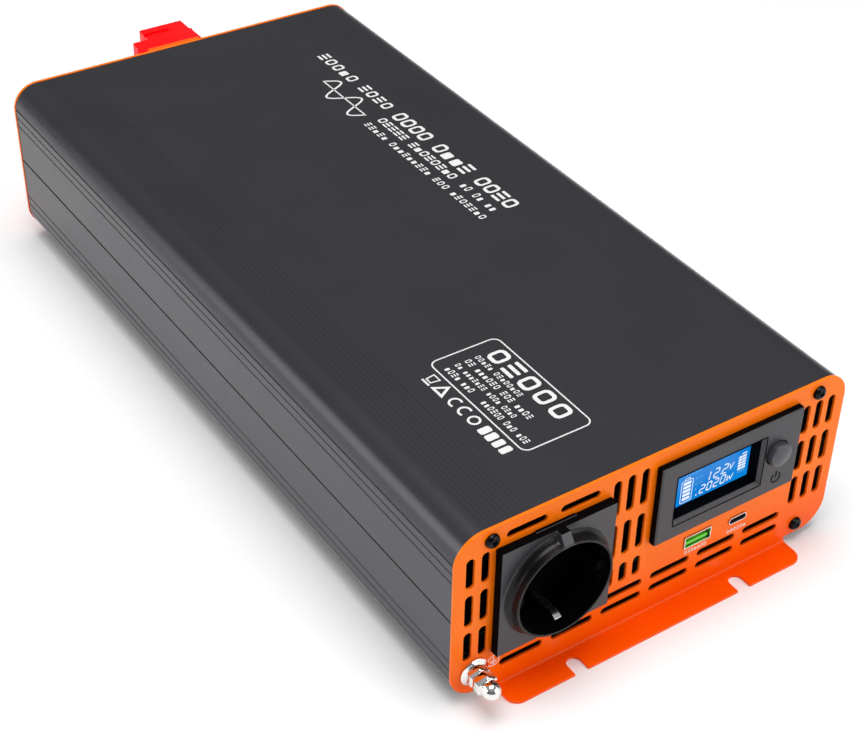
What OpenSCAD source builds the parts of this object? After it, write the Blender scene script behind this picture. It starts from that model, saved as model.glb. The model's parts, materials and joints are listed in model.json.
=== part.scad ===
// Mains power inverter: extruded aluminium case, bent end plates with mounting flanges,
// an earthed mains outlet, a display with a power button, charging ports, two fans and
// a pair of battery terminals. +X is right, +Y is to the rear, +Z is up.
// The origin is under the middle of the overall box, on the surface it stands on.

/* [Case] */
// Width over the end plates
plate_w = 180; // [170:1:230]
// Height of the end plates above the case's underside
plate_h = 76.6; // [74:0.2:100]
// Length of the extruded case
case_len = 361.4; // [320:0.2:460]
// Outer corner radius of the case and end plates
corner_r = 12; // [8:0.5:16]
// Wall thickness of the extrusion
wall = 2.2; // [1.8:0.1:3]
// How far the end plates stand out past the case all round
plate_margin = 0.3; // [0.1:0.1:1]
// Gap between the case and the surface it stands on
case_lift = 3.5; // [2:0.1:6]
// Width of the decorative grooves
groove_w = 0.8; // [0.5:0.1:1.2]
// Depth of the decorative grooves
groove_d = 0.5; // [0.3:0.1:0.8]
// Number of grooves in each band on the top
top_grooves = 10; // [4:1:12]
// Spacing of the grooves on the top
top_groove_pitch = 1.96; // [1.6:0.02:2.4]
// Height of the open seam between the two halves
seam_gap = 0.8; // [0.5:0.1:1.2]

/* [End plates] */
// Sheet thickness
plate_t = 1.2; // [1:0.1:2]
// Width of the mounting flange
flange_w = 141; // [120:1:150]
// How far the mounting flange reaches from the plate
flange_out = 11.7; // [10:0.1:16]
// Inside radius of the bend
bend_r = 1.2; // [0.8:0.1:2]
// Corner radius of the flange
flange_corner_r = 5; // [2:0.5:8]
// Width of the open mounting slots
mount_slot_w = 6; // [5:0.5:7]
// Distance between the two mounting slots of one flange
mount_slot_spacing = 79; // [60:1:100]
// Metal left between a mounting slot and the plate
mount_slot_land = 3.9; // [3:0.1:5]
// Width of a vent slot
vent_w = 3.4; // [3:0.1:3.8]
// Distance of the corner screws from the plate's sides
screw_side = 15; // [12:0.5:18]
// Distance of the corner screws from the plate's top and bottom edges
screw_edge = 5.2; // [5:0.1:7]

/* [Mains outlet] */
// Side of the square outlet face
outlet_w = 49.5; // [48.5:0.1:60]
// Distance of the outlet face from the plate's left side
outlet_from_left = 16.95; // [16:0.05:22]
// Distance of the outlet face from the plate's top
outlet_from_top = 10.25; // [9:0.05:16]
// How far the square face stands out of the plate
outlet_face_out = 3.8; // [3:0.1:6]
// How far the round collar stands out of the plate
collar_out = 8.9; // [7:0.1:12]
// Inside radius of the well
well_r = 19.75; // [19.5:0.05:20.5]
// Thickness of the collar at its rim
collar_t = 1.2; // [1:0.1:2]
// Depth of the well
well_depth = 17.5; // [17:0.5:20]
// Radius of the pin contacts' bores
pin_r = 2.45; // [2.42:0.01:2.6]
// Distance between the two pins
pin_spacing = 19; // [19:0.1:19.2]

/* [Display] */
// Width of the display bezel
bezel_w = 68.6; // [66:0.2:76]
// Height of the display bezel
bezel_h = 36.4; // [35:0.2:42]
// How far the bezel stands out of the plate
bezel_out = 3.3; // [2.5:0.1:5]
// Distance of the bezel's right edge from the plate's right edge
bezel_from_right = 24.4; // [23:0.2:40]
// Distance of the bezel's top from the plate's top
bezel_from_top = 6.3; // [6:0.1:12]
// Width of the window at the bezel's face
window_w = 43.2; // [38:0.2:44]
// Height of the window at the bezel's face
window_h = 23.6; // [20:0.2:26]
// Width of the sloped edge round the window
window_slope = 1.5; // [0.8:0.1:2.5]
// Diameter of the power button
button_d = 10.2; // [8:0.1:12.4]
// How far the power button stands out of the bezel
button_out = 3.4; // [2:0.1:5]
// Travel of the power button
button_travel = 1.2; // [0.6:0.1:1.5]

/* [Charging ports] */
// Width of the large port's shell
port_a_w = 13.1; // [13:0.1:13.4]
// Height of the large port's shell
port_a_h = 5.7; // [5.5:0.1:5.9]
// Width of the small port's shell
port_c_w = 8.94; // [8.8:0.02:9.1]
// Height of the small port's shell
port_c_h = 3.26; // [3.1:0.02:3.4]

/* [Earth stud] */
// Thread diameter of the earth stud
earth_d = 5; // [4:0.5:6]
// Width across flats of its nuts
earth_af = 8; // [7:0.5:10]
// Height of the flange nut
flange_nut_h = 4.7; // [4:0.1:6]
// Height of the cap nut
cap_nut_h = 10; // [8:0.5:12]
// Distance of the earth stud from the plate's left edge
earth_from_left = 9.8; // [9:0.1:12]
// Height of the earth stud above the case's underside
earth_up = 11; // [10:0.5:14]

/* [Fans] */
// Side of a fan's square frame
fan_w = 60; // [50:1:60]
// Thickness of a fan
fan_t = 25; // [20:1:30]
// Distance of each fan's centre from the middle
fan_x = 53; // [50:0.5:54]
// Clearance between the blade tips and the frame
fan_gap = 0.7; // [0.5:0.1:1.5]
// Number of blades
fan_blades = 7; // [5:1:9]

/* [Battery terminals] */
// Diameter of the battery studs
stud_d = 8; // [6:0.5:10]
// Width and height of an insulating base
base_w = 30; // [28:0.5:32]
// Depth of an insulating base
base_out = 12; // [8:0.5:16]
// Position of the terminals to the right of the middle
terminal_x = -3; // [-6:0.5:6]
// Distance of the upper base from the plate's top and of the lower base from its bottom
terminal_edge = 7; // [4:0.5:8]
// How far a terminal cover reaches behind the plate
cover_out = 35; // [33:0.5:45]
// Wall thickness of a terminal cover
cover_t = 2; // [1.5:0.1:2.5]
// Radius of the cable opening in a terminal cover
cable_r = 7; // [6:0.5:9]

/* [Inside] */
// Thickness of the circuit boards
board_t = 1.6; // [1.2:0.1:2]
// Height of the board rails above the case's underside
rail_up = 10.5; // [10:0.5:14]
// Number of power transistors on each heat sink
transistors = 7; // [4:1:8]
// Number of input capacitors
input_caps = 6; // [3:1:7]

/* [Hidden] */
$fn = 48;

// Fits: a slide or pocket, a bolt through a hole, and a shaft in its bearing
slide_gap = 0.3;
bolt_gap = 0.1;
bearing_gap = 0.05;
// A cut starts this far outside the solid that it cuts
past = 1;

// Overall box and the outer faces of the two end plates
stud_out = flange_nut_h + cap_nut_h;
overall_len = stud_out + 2 * plate_t + case_len + cover_out;
front_y = -overall_len / 2 + stud_out;
rear_y = front_y + 2 * plate_t + case_len;
front_in_y = front_y + plate_t;
rear_in_y = rear_y - plate_t;
case_w = plate_w - 2 * plate_margin;
case_h = plate_h - 2 * plate_margin;
case_z = case_lift + plate_margin;
top_z = case_lift + plate_h;
mid_z = case_lift + plate_h / 2;
inner_x = case_w / 2 - wall;
inner_top_z = top_z - plate_margin - wall;
inner_bottom_z = case_z + wall;

// Case details
groove_band_in = plate_w / 2 - 13.6;
side_groove_offsets = [19, 23.2, 27.2];
channel_r = 2.6;
channel_bore_r = 1.35;
lip_t = 1;
lip_h = 4.5;
rail_reach = 2.4;
rail_t = 1.8;
board_z = case_lift + rail_up;
board_top_z = board_z + board_t;

// Corner screws
screw_x = plate_w / 2 - screw_side;
screw_r = channel_bore_r - bolt_gap;
screw_head_r = 2.9;
screw_head_h = 2.2;
screw_len = 10;
screw_low_z = case_lift + screw_edge;
screw_high_z = top_z - screw_edge;
front_screw_places = [
  [-screw_x, screw_high_z], [screw_x, screw_high_z], [screw_x, screw_low_z]
];
rear_screw_places = concat(front_screw_places, [[-screw_x, screw_low_z]]);

// Mounting flange
bend_out_r = bend_r + plate_t;
mount_slot_y = -mount_slot_land - mount_slot_w / 2;

// Mains outlet
outlet_left = -plate_w / 2 + outlet_from_left;
outlet_x = outlet_left + outlet_w / 2;
outlet_z = top_z - outlet_from_top - outlet_w / 2;
outlet_back_w = 44;
outlet_back_depth = 22;
collar_r = well_r + collar_t;
collar_foot_r = collar_r + 3.1;
collar_foot_h = 3.1;
well_floor_y = front_y - collar_out + well_depth;
floor_t = 2;
flat_x = 17.4;
flat_recess = 3;
guide_x = 15.9;
guide_w = 5;
flat_gap_w = 7.4;
pin_hole_r = 2.75;
sleeve_r = 3.6;
sleeve_y = well_floor_y + floor_t;
outlet_back_y = front_y + outlet_back_depth;
lug_w = 4.4;
lug_top_out = 2.5;
snap_w = 17;
snap_out = 1.35;
snap_t = 0.4;
clip_w = 3;
clip_t = 0.8;
clip_in = 15.5;
clip_front_y = front_y - 7.4;

// Display
bezel_right = plate_w / 2 - bezel_from_right;
bezel_left = bezel_right - bezel_w;
bezel_top = top_z - bezel_from_top;
bezel_bottom = bezel_top - bezel_h;
bezel_edge = 0.6;
bezel_step = 3;
bezel_back_depth = 8;
window_left = bezel_left + 7.6;
window_bottom = bezel_bottom + 6.4;
window_x = window_left + window_w / 2;
window_z = window_bottom + window_h / 2;
view_w = window_w - 2 * window_slope;
view_h = window_h - 2 * window_slope;
panel_depth = 3.2;
panel_t = 2;
panel_border = 1.9;
panel_y = front_y + panel_depth;
display_board_y = front_y + 11;
panel_frame_t = display_board_y - panel_y - panel_t;
button_r = button_d / 2;
button_x = window_left + window_w + button_r + 1.3;
button_z = bezel_top - 16.7;
button_wall = 2.5;
button_flange_r = button_r + 1.2;
button_flange_t = 1.2;
button_stem_r = 2;
dome_r = 16;
switch_w = 6;
switch_h = 3.5;
plunger_r = 1.75;
plunger_out = 1.6;
symbol_x = bezel_right - 10;
symbol_z = button_z - 13;
symbol_r = 2.5;
symbol_line = 0.7;
symbol_depth = 0.35;

// Charging ports
port_z = bezel_bottom - 9.8;
port_a_x = bezel_left + 24.7;
port_c_x = bezel_left + 44.8;
port_out = 0.5;
port_a_len = 13.5;
port_c_len = 8.5;
port_a_t = 0.4;
port_c_t = 0.35;
port_board_z = port_z - port_a_h / 2 - board_t;

// Earth stud
earth_x = -plate_w / 2 + earth_from_left;
earth_z = case_lift + earth_up;
earth_thread = 7;
earth_tail = 7;

// Fans
fan_z = mid_z;
fan_y = rear_in_y - fan_t;
fan_bore_r = fan_w / 2 - 2;
fan_hub_r = 14.5;
fan_hole = fan_w / 2 - 5;
fan_hole_r = 2.15;
fan_plate_t = 3;
fan_shaft_r = 1.5;
fan_rings = 4;
fan_grille_pitch = (fan_bore_r - vent_w - 1.5) / fan_rings;
fan_grille_web = 3;
fan_screw_head_r = 3.4;
fan_screw_head_h = 2;
fan_screw_len = 9;

// Battery terminals
pos_z = top_z - terminal_edge - base_w / 2;
neg_z = case_lift + terminal_edge + base_w / 2;
stud_r = stud_d / 2;
boss_r = stud_r + 3;
boss_in = 4;
spigot_out = 2;
spigot_gap = cover_t + slide_gap;
washer_r = stud_r + 4;
washer_t = 1.5;
nut_h = stud_d * 0.8;
nut_af = stud_d * 1.6 + 0.2;
stud_in = boss_in + 2 * nut_h + 2;
bar_t = 2;
bar_w = 16;
washer_y = rear_y + base_out + spigot_out;
nut_y = washer_y + washer_t;
stud_end_y = nut_y + nut_h + 2;
cover_y = rear_y + base_out;
// Each step of a cover is its left and right reach from the terminal and how far back it goes
cover_steps = [
  [base_w / 2 + 1.5, base_w / 2 + 1, 5.5],
  [base_w / 2, base_w / 2 + 2, nut_y + nut_h + 0.6 + cover_t - cover_y],
  [stud_r + 0.5 + cover_t, base_w / 2 + 1.5, cover_out - base_out]
];

// Inside
board_len = case_len - fan_t - 18;
board_y = front_in_y + 12;
board_w = 2 * (inner_x - 1);
sink_x = 62;
sink_h = 42;
sink_t = 4;
sink_len = 150;
sink_y = board_y + 60;
transistor_pitch = 20;
core_y = sink_y + sink_len + 15;
core_w = 46;
core_d = 38;
core_h = 42;
coil_out = 5;
fuse_d = 12;
fuse_y = core_y + core_d + coil_out + 3;
can_r = 8;
can_y = fuse_y + fuse_d + can_r + 3;
toroid_y = board_y + 42;
bar_y = rear_in_y - boss_in - nut_h - bar_t;
board_end_y = board_y + board_len;
neg_run = bar_y - board_end_y + 6;
pos_run = neg_run + 6;
pos_shelf_z = pos_z - nut_af / 2 - bar_t - 1;

// ---------- helpers ----------

// A flat shape drawn in X and Z, extruded along +Y from y
module along_y(y, length) {
  translate([0, y + length, 0]) rotate([90, 0, 0]) linear_extrude(length) children();
}

// A flat shape drawn in Y and Z, extruded along +X from x
module along_x(x, length) {
  translate([x, 0, 0]) rotate([90, 0, 90]) linear_extrude(length) children();
}

// A rod along +Y from y
module rod_y(x, y, z, r, length) {
  translate([x, y, z]) rotate([-90, 0, 0]) cylinder(h = length, r = r);
}

// A box given by its lowest corner and size
module block(x, y, z, size) {
  translate([x, y, z]) cube(size);
}

// A rectangle with round corners, centred on X, standing on z
module rounded(w, h, r, z) {
  translate([-w / 2 + r, z]) square([w - 2 * r, h]);
  translate([-w / 2, z + r]) square([w, h - 2 * r]);
  for (s = [-1, 1], up = [r, h - r]) translate([s * (w / 2 - r), z + up]) circle(r);
}

// A slot with round ends, of overall size w by h, centred on x and z
module stadium(x, z, w, h) {
  r = min(w, h) / 2;
  run = max(w, h) - 2 * r;
  translate([x, z]) rotate(w > h ? 0 : 90) {
    square([run, 2 * r], center = true);
    for (s = [-1, 1]) translate([s * run / 2, 0]) circle(r);
  }
}

// A nut along +Y with chamfered corners on its far face
module hex_nut(x, y, z, af, h, bore) {
  corner_r = af / 2 / cos(30);
  difference() {
    intersection() {
      translate([x, y, z]) rotate([-90, 0, 0]) cylinder(h = h, r = corner_r, $fn = 6);
      translate([x, y, z]) rotate([-90, 0, 0])
        cylinder(h = h, r1 = corner_r + h * 0.9, r2 = af / 2 + 0.1);
    }
    rod_y(x, y - past, z, bore, h + 2 * past);
  }
}

// A pan-head screw seated at y, with its shank along +Y or, for the rear, along -Y
module pan_screw(x, y, z, shank_r, length, head_r, head_h, way) {
  translate([x, y, z]) rotate([-90 * way, 0, 0]) {
    cylinder(h = length, r = shank_r);
    difference() {
      intersection() {
        translate([0, 0, -head_h]) cylinder(h = head_h, r = head_r);
        translate([0, 0, head_r * 1.25 - head_h]) sphere(head_r * 1.25);
      }
      for (turn = [0, 90]) rotate([0, 0, turn])
        translate([-head_r * 0.5, -0.35, -head_h - past]) cube([head_r, 0.7, past + 1.1]);
    }
  }
}

// ---------- case ----------

module case_ring() {
  difference() {
    rounded(case_w, case_h, corner_r - plate_margin, case_z);
    rounded(case_w - 2 * wall, case_h - 2 * wall, corner_r - plate_margin - wall, inner_bottom_z);
  }
}

module side_grooves() {
  for (s = [-1, 1], up = [-1, 1], offset_z = side_groove_offsets)
    translate([s * case_w / 2, mid_z + up * offset_z])
      square([2 * groove_d, groove_w], center = true);
}

module top_groove_bands() {
  for (s = [-1, 1], i = [0 : top_grooves - 1])
    translate([s * (groove_band_in - i * top_groove_pitch), top_z - plate_margin])
      square([groove_w, 2 * groove_d], center = true);
}

// A screw channel hangs from the wall on a short web
module screw_channel(x, z, wall_z) {
  translate([x, z]) circle(channel_r);
  translate([x - channel_r / 2, min(z, wall_z)]) square([channel_r, abs(wall_z - z)]);
}

module case_top() {
  color("#4a4b50") along_y(front_in_y, case_len) difference() {
    union() {
      intersection() {
        case_ring();
        translate([-plate_w, mid_z + seam_gap]) square([2 * plate_w, plate_h]);
      }
      for (s = [-1, 1]) screw_channel(s * screw_x, screw_high_z, inner_top_z + wall / 2);
    }
    for (s = [-1, 1]) translate([s * screw_x, screw_high_z]) circle(channel_bore_r);
    side_grooves();
    top_groove_bands();
  }
}

// The lower half carries the lip that the upper half slides over, and the board rails
module case_bottom() {
  color("#4a4b50") along_y(front_in_y, case_len) difference() {
    union() {
      intersection() {
        case_ring();
        translate([-plate_w, mid_z - plate_h]) square([2 * plate_w, plate_h]);
      }
      for (s = [-1, 1]) {
        screw_channel(s * screw_x, screw_low_z, inner_bottom_z - wall / 2);
        mirror([s < 0 ? 1 : 0, 0]) {
          translate([inner_x - slide_gap - lip_t, mid_z - lip_h]) square([lip_t, 2 * lip_h]);
          translate([inner_x - slide_gap - lip_t, mid_z - lip_h])
            square([slide_gap + lip_t + wall / 2, lip_h]);
          for (z = [board_z - rail_t, board_top_z + slide_gap])
            translate([inner_x - rail_reach, z]) square([rail_reach + wall / 2, rail_t]);
        }
      }
    }
    for (s = [-1, 1]) translate([s * screw_x, screw_low_z]) circle(channel_bore_r);
    side_grooves();
  }
}

// ---------- end plates ----------

// Each end plate and its flange are one bent sheet, drawn as two solids that meet where the
// bend starts. Both are drawn with the outer face at y = 0 and the flange towards -Y.
module end_plate_blank() {
  along_y(0, plate_t) {
    rounded(plate_w, plate_h, corner_r, case_lift);
    translate([-flange_w / 2, bend_out_r])
      square([flange_w, case_lift + corner_r - bend_out_r]);
  }
}

// The sheet's edge, seen from its end: a quarter bend and a flat stretch
module flange_section() {
  intersection() {
    difference() {
      translate([-bend_r, bend_out_r]) circle(bend_out_r);
      translate([-bend_r, bend_out_r]) circle(bend_r);
    }
    translate([-bend_r, 0]) square([bend_out_r, bend_out_r]);
  }
  translate([-flange_out, 0]) square([flange_out - bend_r, plate_t]);
}

module flange_outline() {
  translate([-flange_w / 2, -flange_out + flange_corner_r]) square([flange_w, flange_out]);
  translate([-flange_w / 2 + flange_corner_r, -flange_out])
    square([flange_w - 2 * flange_corner_r, flange_out]);
  for (s = [-1, 1])
    translate([s * (flange_w / 2 - flange_corner_r), flange_corner_r - flange_out])
      circle(flange_corner_r);
}

module end_flange() {
  difference() {
    intersection() {
      along_x(-flange_w / 2, flange_w) flange_section();
      linear_extrude(bend_out_r + past) flange_outline();
    }
    for (s = [-1, 1]) translate([s * mount_slot_spacing / 2, mount_slot_y, -past]) {
      cylinder(h = plate_t + 2 * past, r = mount_slot_w / 2);
      translate([-mount_slot_w / 2, -flange_out, 0])
        cube([mount_slot_w, flange_out, plate_t + 2 * past]);
    }
  }
}

// Rows of upright slots: each column is its place, and each row its lower and upper end
module upright_vents(columns, rows) {
  for (x = columns, row = rows)
    stadium(x, (row[0] + row[1]) / 2, vent_w, row[1] - row[0]);
}

module lying_vents(left, pitch, length, count, z) {
  for (i = [0 : count - 1]) stadium(left + i * pitch + length / 2, z, length, vent_w);
}

module front_vents() {
  edge = plate_w / 2;
  side_rows = [[case_lift + 17.6, case_lift + 31.4], [case_lift + 34.7, case_lift + 49.4],
    [case_lift + 52.9, case_lift + 66.5]];
  middle_rows = [[case_lift + 20.1, case_lift + 29.5], [case_lift + 34, case_lift + 50.5],
    [case_lift + 54.9, case_lift + 71.7]];
  pitch = 6.4;
  upright_vents([for (i = [0, 1]) -edge + 6.7 + i * pitch], side_rows);
  upright_vents([for (i = [0, 1, 2]) edge - 6.6 - i * pitch], side_rows);
  upright_vents([for (i = [0, 1, 2]) outlet_left + outlet_w + 2.85 + i * pitch], middle_rows);
  lying_vents(outlet_left + 4.45, 22.9, 17, 2, top_z - 6.3);
  lying_vents(-edge + 21.2, 22.95, 18.8, 6, case_lift + 8.4);
  lying_vents(-edge + 67.1, 22.95, 18.8, 4, case_lift + 14.8);
}

module front_plate() {
  cut_y = front_y - past;
  cut_len = plate_t + 2 * past;
  outlet_hole = outlet_back_w + 2 * slide_gap;
  color("#ff6a10") difference() {
    translate([0, front_y, 0]) end_plate_blank();
    along_y(cut_y, cut_len) {
      front_vents();
      translate([outlet_x, outlet_z]) square(outlet_hole, center = true);
      translate([bezel_left + bezel_step - slide_gap, bezel_bottom + bezel_step - slide_gap])
        square([bezel_w - 2 * bezel_step + 2 * slide_gap,
          bezel_h - 2 * bezel_step + 2 * slide_gap]);
      translate([port_a_x, port_z])
        square([port_a_w + 2 * bolt_gap, port_a_h + 2 * bolt_gap], center = true);
      stadium(port_c_x, port_z, port_c_w + 2 * bolt_gap, port_c_h + 2 * bolt_gap);
      for (p = front_screw_places) translate(p) circle(screw_r + bolt_gap);
      translate([earth_x, earth_z]) circle(earth_d / 2 + bolt_gap);
    }
  }
}

// Four rings of arc-shaped slots over a fan, crossed by two webs
module fan_grille(x) {
  translate([x, fan_z]) difference() {
    for (i = [1 : fan_rings]) difference() {
      circle(i * fan_grille_pitch + vent_w);
      circle(i * fan_grille_pitch);
    }
    for (turn = [45, 135]) rotate([0, 0, turn])
      square([2 * fan_w, fan_grille_web], center = true);
  }
}

module rear_plate() {
  color("#ff6a10") difference() {
    translate([0, rear_y, 0]) mirror([0, 1, 0]) end_plate_blank();
    along_y(rear_in_y - past, plate_t + 2 * past) {
      for (s = [-1, 1]) {
        fan_grille(s * fan_x);
        for (dx = [-1, 1], dz = [-1, 1])
          translate([s * fan_x + dx * fan_hole, fan_z + dz * fan_hole]) circle(fan_hole_r);
      }
      for (p = rear_screw_places) translate(p) circle(screw_r + bolt_gap);
      for (z = [pos_z, neg_z]) translate([terminal_x, z]) circle(boss_r + slide_gap);
    }
  }
}

module front_flange() {
  color("#ff6a10") translate([0, front_y, 0]) end_flange();
}

module rear_flange() {
  color("#ff6a10") translate([0, rear_y, 0]) mirror([0, 1, 0]) end_flange();
}

module front_screws() {
  color("#17181a") for (p = front_screw_places)
    pan_screw(p[0], front_y, p[1], screw_r, screw_len, screw_head_r, screw_head_h, 1);
}

module rear_screws() {
  color("#17181a") for (p = rear_screw_places)
    pan_screw(p[0], rear_y, p[1], screw_r, screw_len, screw_head_r, screw_head_h, -1);
}

// ---------- earth stud ----------

module earth_stud() {
  color("#c9ccd0")
    rod_y(earth_x, front_y - flange_nut_h - earth_thread, earth_z, earth_d / 2 - bearing_gap,
      flange_nut_h + earth_thread + plate_t + earth_tail);
}

module earth_flange_nut() {
  color("#dfe2e6") difference() {
    union() {
      translate([0, 2 * front_y, 0]) mirror([0, 1, 0])
        hex_nut(earth_x, front_y, earth_z, earth_af, flange_nut_h, earth_d / 2);
      translate([earth_x, front_y, earth_z]) rotate([90, 0, 0])
        cylinder(h = 1.5, r1 = earth_af * 0.74, r2 = earth_af * 0.6);
    }
    rod_y(earth_x, front_y - flange_nut_h - past, earth_z, earth_d / 2,
      flange_nut_h + 2 * past);
  }
}

module earth_cap_nut() {
  hex_h = cap_nut_h * 0.45;
  dome = earth_af * 0.46;
  seat_y = front_y - flange_nut_h;
  color("#e6e8eb") difference() {
    union() {
      translate([0, 2 * seat_y, 0]) mirror([0, 1, 0])
        hex_nut(earth_x, seat_y, earth_z, earth_af, hex_h, earth_d / 2);
      rod_y(earth_x, seat_y - cap_nut_h + dome, earth_z, dome, cap_nut_h - dome);
      translate([earth_x, seat_y - cap_nut_h + dome, earth_z]) sphere(dome);
    }
    rod_y(earth_x, seat_y - earth_thread - bolt_gap, earth_z, earth_d / 2,
      earth_thread + bolt_gap + past);
  }
}

module earth_inner_nut() {
  color("#c9ccd0")
    hex_nut(earth_x, front_in_y, earth_z, earth_af, earth_d * 0.8, earth_d / 2);
}

// ---------- mains outlet ----------

// The collar flares smoothly into the square face
module collar() {
  rise = collar_out - outlet_face_out;
  translate([outlet_x, front_y - outlet_face_out, outlet_z]) rotate([90, 0, 0])
    rotate_extrude() difference() {
      square([collar_foot_r, rise]);
      translate([collar_r, collar_foot_h]) square([2 * collar_foot_h, rise]);
      translate([collar_foot_r, collar_foot_h]) circle(collar_foot_h);
    }
}

// Two flats with a guide rib in the middle narrow the well at its sides
module well_flats() {
  flat_y = front_y - collar_out + flat_recess;
  length = well_floor_y - flat_y;
  intersection() {
    rod_y(outlet_x, flat_y, outlet_z, well_r + collar_t / 2, length);
    for (s = [-1, 1], up = [-1, 1]) translate([outlet_x + s * (flat_x + well_r / 2),
        flat_y + length / 2, outlet_z + up * (flat_gap_w / 2 + well_r / 2)])
      cube([well_r, length, well_r], center = true);
  }
  for (s = [-1, 1]) translate([outlet_x + s * (guide_x + collar_r) / 2,
      flat_y + length / 2, outlet_z])
    cube([collar_r - guide_x, length, guide_w], center = true);
}

module outlet_body() {
  half = outlet_w / 2;
  color("#222325") difference() {
    union() {
      difference() {
        union() {
          along_y(front_y - outlet_face_out, outlet_face_out)
            translate([outlet_x, outlet_z]) square(outlet_w, center = true);
          along_y(front_y - past / 2, outlet_back_depth + past / 2)
            translate([outlet_x, outlet_z]) square(outlet_back_w, center = true);
          collar();
          along_x(outlet_x - lug_w / 2, lug_w) polygon([
            [front_y - past, outlet_z + well_r + collar_t / 2],
            [front_y - collar_out, outlet_z + well_r + collar_t / 2],
            [front_y - collar_out, outlet_z + collar_r],
            [front_y - outlet_face_out - lug_top_out, outlet_z + half],
            [front_y - past, outlet_z + half]]);
          block(outlet_x - snap_w / 2, front_y - snap_out, outlet_z + half - past,
            [snap_w, snap_out, past + snap_t]);
        }
        rod_y(outlet_x, front_y - collar_out - past, outlet_z, well_r, well_depth + past);
      }
      well_flats();
    }
    for (s = [-1, 1]) {
      pin_x = outlet_x + s * pin_spacing / 2;
      rod_y(pin_x, well_floor_y - past, outlet_z, pin_hole_r, floor_t + 2 * past);
      rod_y(pin_x, sleeve_y, outlet_z, sleeve_r + bolt_gap, outlet_back_depth);
      block(outlet_x - clip_w / 2 - bolt_gap, well_floor_y - past,
        outlet_z + s * (clip_in + clip_t / 2) - clip_t / 2 - bolt_gap,
        [clip_w + 2 * bolt_gap, outlet_back_depth, clip_t + 2 * bolt_gap]);
    }
  }
}

module outlet_rear_cap() {
  color("#2b2c2e") difference() {
    along_y(outlet_back_y, 2)
      translate([outlet_x, outlet_z]) square(outlet_back_w, center = true);
    for (s = [-1, 1]) rod_y(outlet_x + s * pin_spacing / 2, outlet_back_y - past, outlet_z,
      2, 2 + 2 * past);
  }
}

module outlet_contacts() {
  color("#c8a24a") for (s = [-1, 1]) difference() {
    rod_y(outlet_x + s * pin_spacing / 2, sleeve_y, outlet_z, sleeve_r,
      outlet_back_y - sleeve_y);
    rod_y(outlet_x + s * pin_spacing / 2, sleeve_y - past, outlet_z, pin_r,
      outlet_back_y - sleeve_y + 2 * past);
  }
}

// A sprung strip at the top and bottom of the well, bent outward at its tip
module outlet_earth_clips() {
  tip = 2.2;
  color("#d9dbde") for (s = [-1, 1]) translate([outlet_x, 0, outlet_z])
    mirror([0, 0, s < 0 ? 1 : 0]) along_x(-clip_w / 2, clip_w) {
      translate([clip_front_y + tip, clip_in])
        square([outlet_back_y - 2 - clip_front_y - tip, clip_t]);
      polygon([[clip_front_y, clip_in + 0.9], [clip_front_y + tip, clip_in],
        [clip_front_y + tip, clip_in + clip_t], [clip_front_y, clip_in + clip_t + 0.9]]);
    }
}

// ---------- display and power button ----------

module display_bezel() {
  back_y = front_y + bezel_back_depth;
  pocket_y = front_y - bezel_out + button_wall;
  color("#35363a") difference() {
    union() {
      hull() {
        block(bezel_left, front_y - bezel_out + bezel_edge, bezel_bottom,
          [bezel_w, bezel_out - bezel_edge, bezel_h]);
        block(bezel_left + bezel_edge, front_y - bezel_out, bezel_bottom + bezel_edge,
          [bezel_w - 2 * bezel_edge, bezel_edge, bezel_h - 2 * bezel_edge]);
      }
      block(bezel_left + bezel_step, front_y - past / 2, bezel_bottom + bezel_step,
        [bezel_w - 2 * bezel_step, bezel_back_depth + past / 2, bezel_h - 2 * bezel_step]);
    }
    hull() for (step = [0, window_slope])
      translate([window_x, front_y - bezel_out + step, window_z])
        cube([window_w - 2 * step, 0.01, window_h - 2 * step], center = true);
    translate([window_x, front_y, window_z]) cube([view_w, 2 * bezel_out, view_h], center = true);
    translate([window_x, panel_y, window_z])
      cube([view_w, 2 * panel_depth, view_h], center = true);
    block(window_x - view_w / 2 - panel_border, panel_y, window_z - view_h / 2 - panel_border,
      [view_w + 2 * panel_border, bezel_back_depth, view_h + 2 * panel_border]);
    rod_y(button_x, front_y - bezel_out - past, button_z, button_r + slide_gap, button_wall + 2 * past);
    rod_y(button_x, pocket_y, button_z, button_flange_r + slide_gap, bezel_back_depth + bezel_out);
    power_symbol();
  }
}

// An open ring with a stroke through its gap, sunk in the bezel's face
module power_symbol() {
  along_y(front_y - bezel_out - past, past + symbol_depth) translate([symbol_x, symbol_z]) {
    difference() {
      circle(symbol_r);
      circle(symbol_r - symbol_line);
      translate([-symbol_r * 0.55, 0]) square([symbol_r * 1.1, 2 * symbol_r]);
    }
    translate([-symbol_line / 2, 0]) square([symbol_line, symbol_r + 0.6]);
  }
}

module display_panel() {
  gap = panel_border - bolt_gap;
  color("#0a84e0") block(window_x - view_w / 2 - gap, panel_y, window_z - view_h / 2 - gap,
    [view_w + 2 * gap, panel_t, view_h + 2 * gap]);
}

module display_frame() {
  gap = panel_border - bolt_gap;
  color("#e8e8e4") block(window_x - view_w / 2 - gap, panel_y + panel_t,
    window_z - view_h / 2 - gap, [view_w + 2 * gap, panel_frame_t, view_h + 2 * gap]);
}

module display_board() {
  color("#1d6b3a") block(bezel_left + bezel_step, display_board_y, bezel_bottom + bezel_step,
    [bezel_w - 2 * bezel_step, board_t, bezel_h - 2 * bezel_step]);
}

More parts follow.
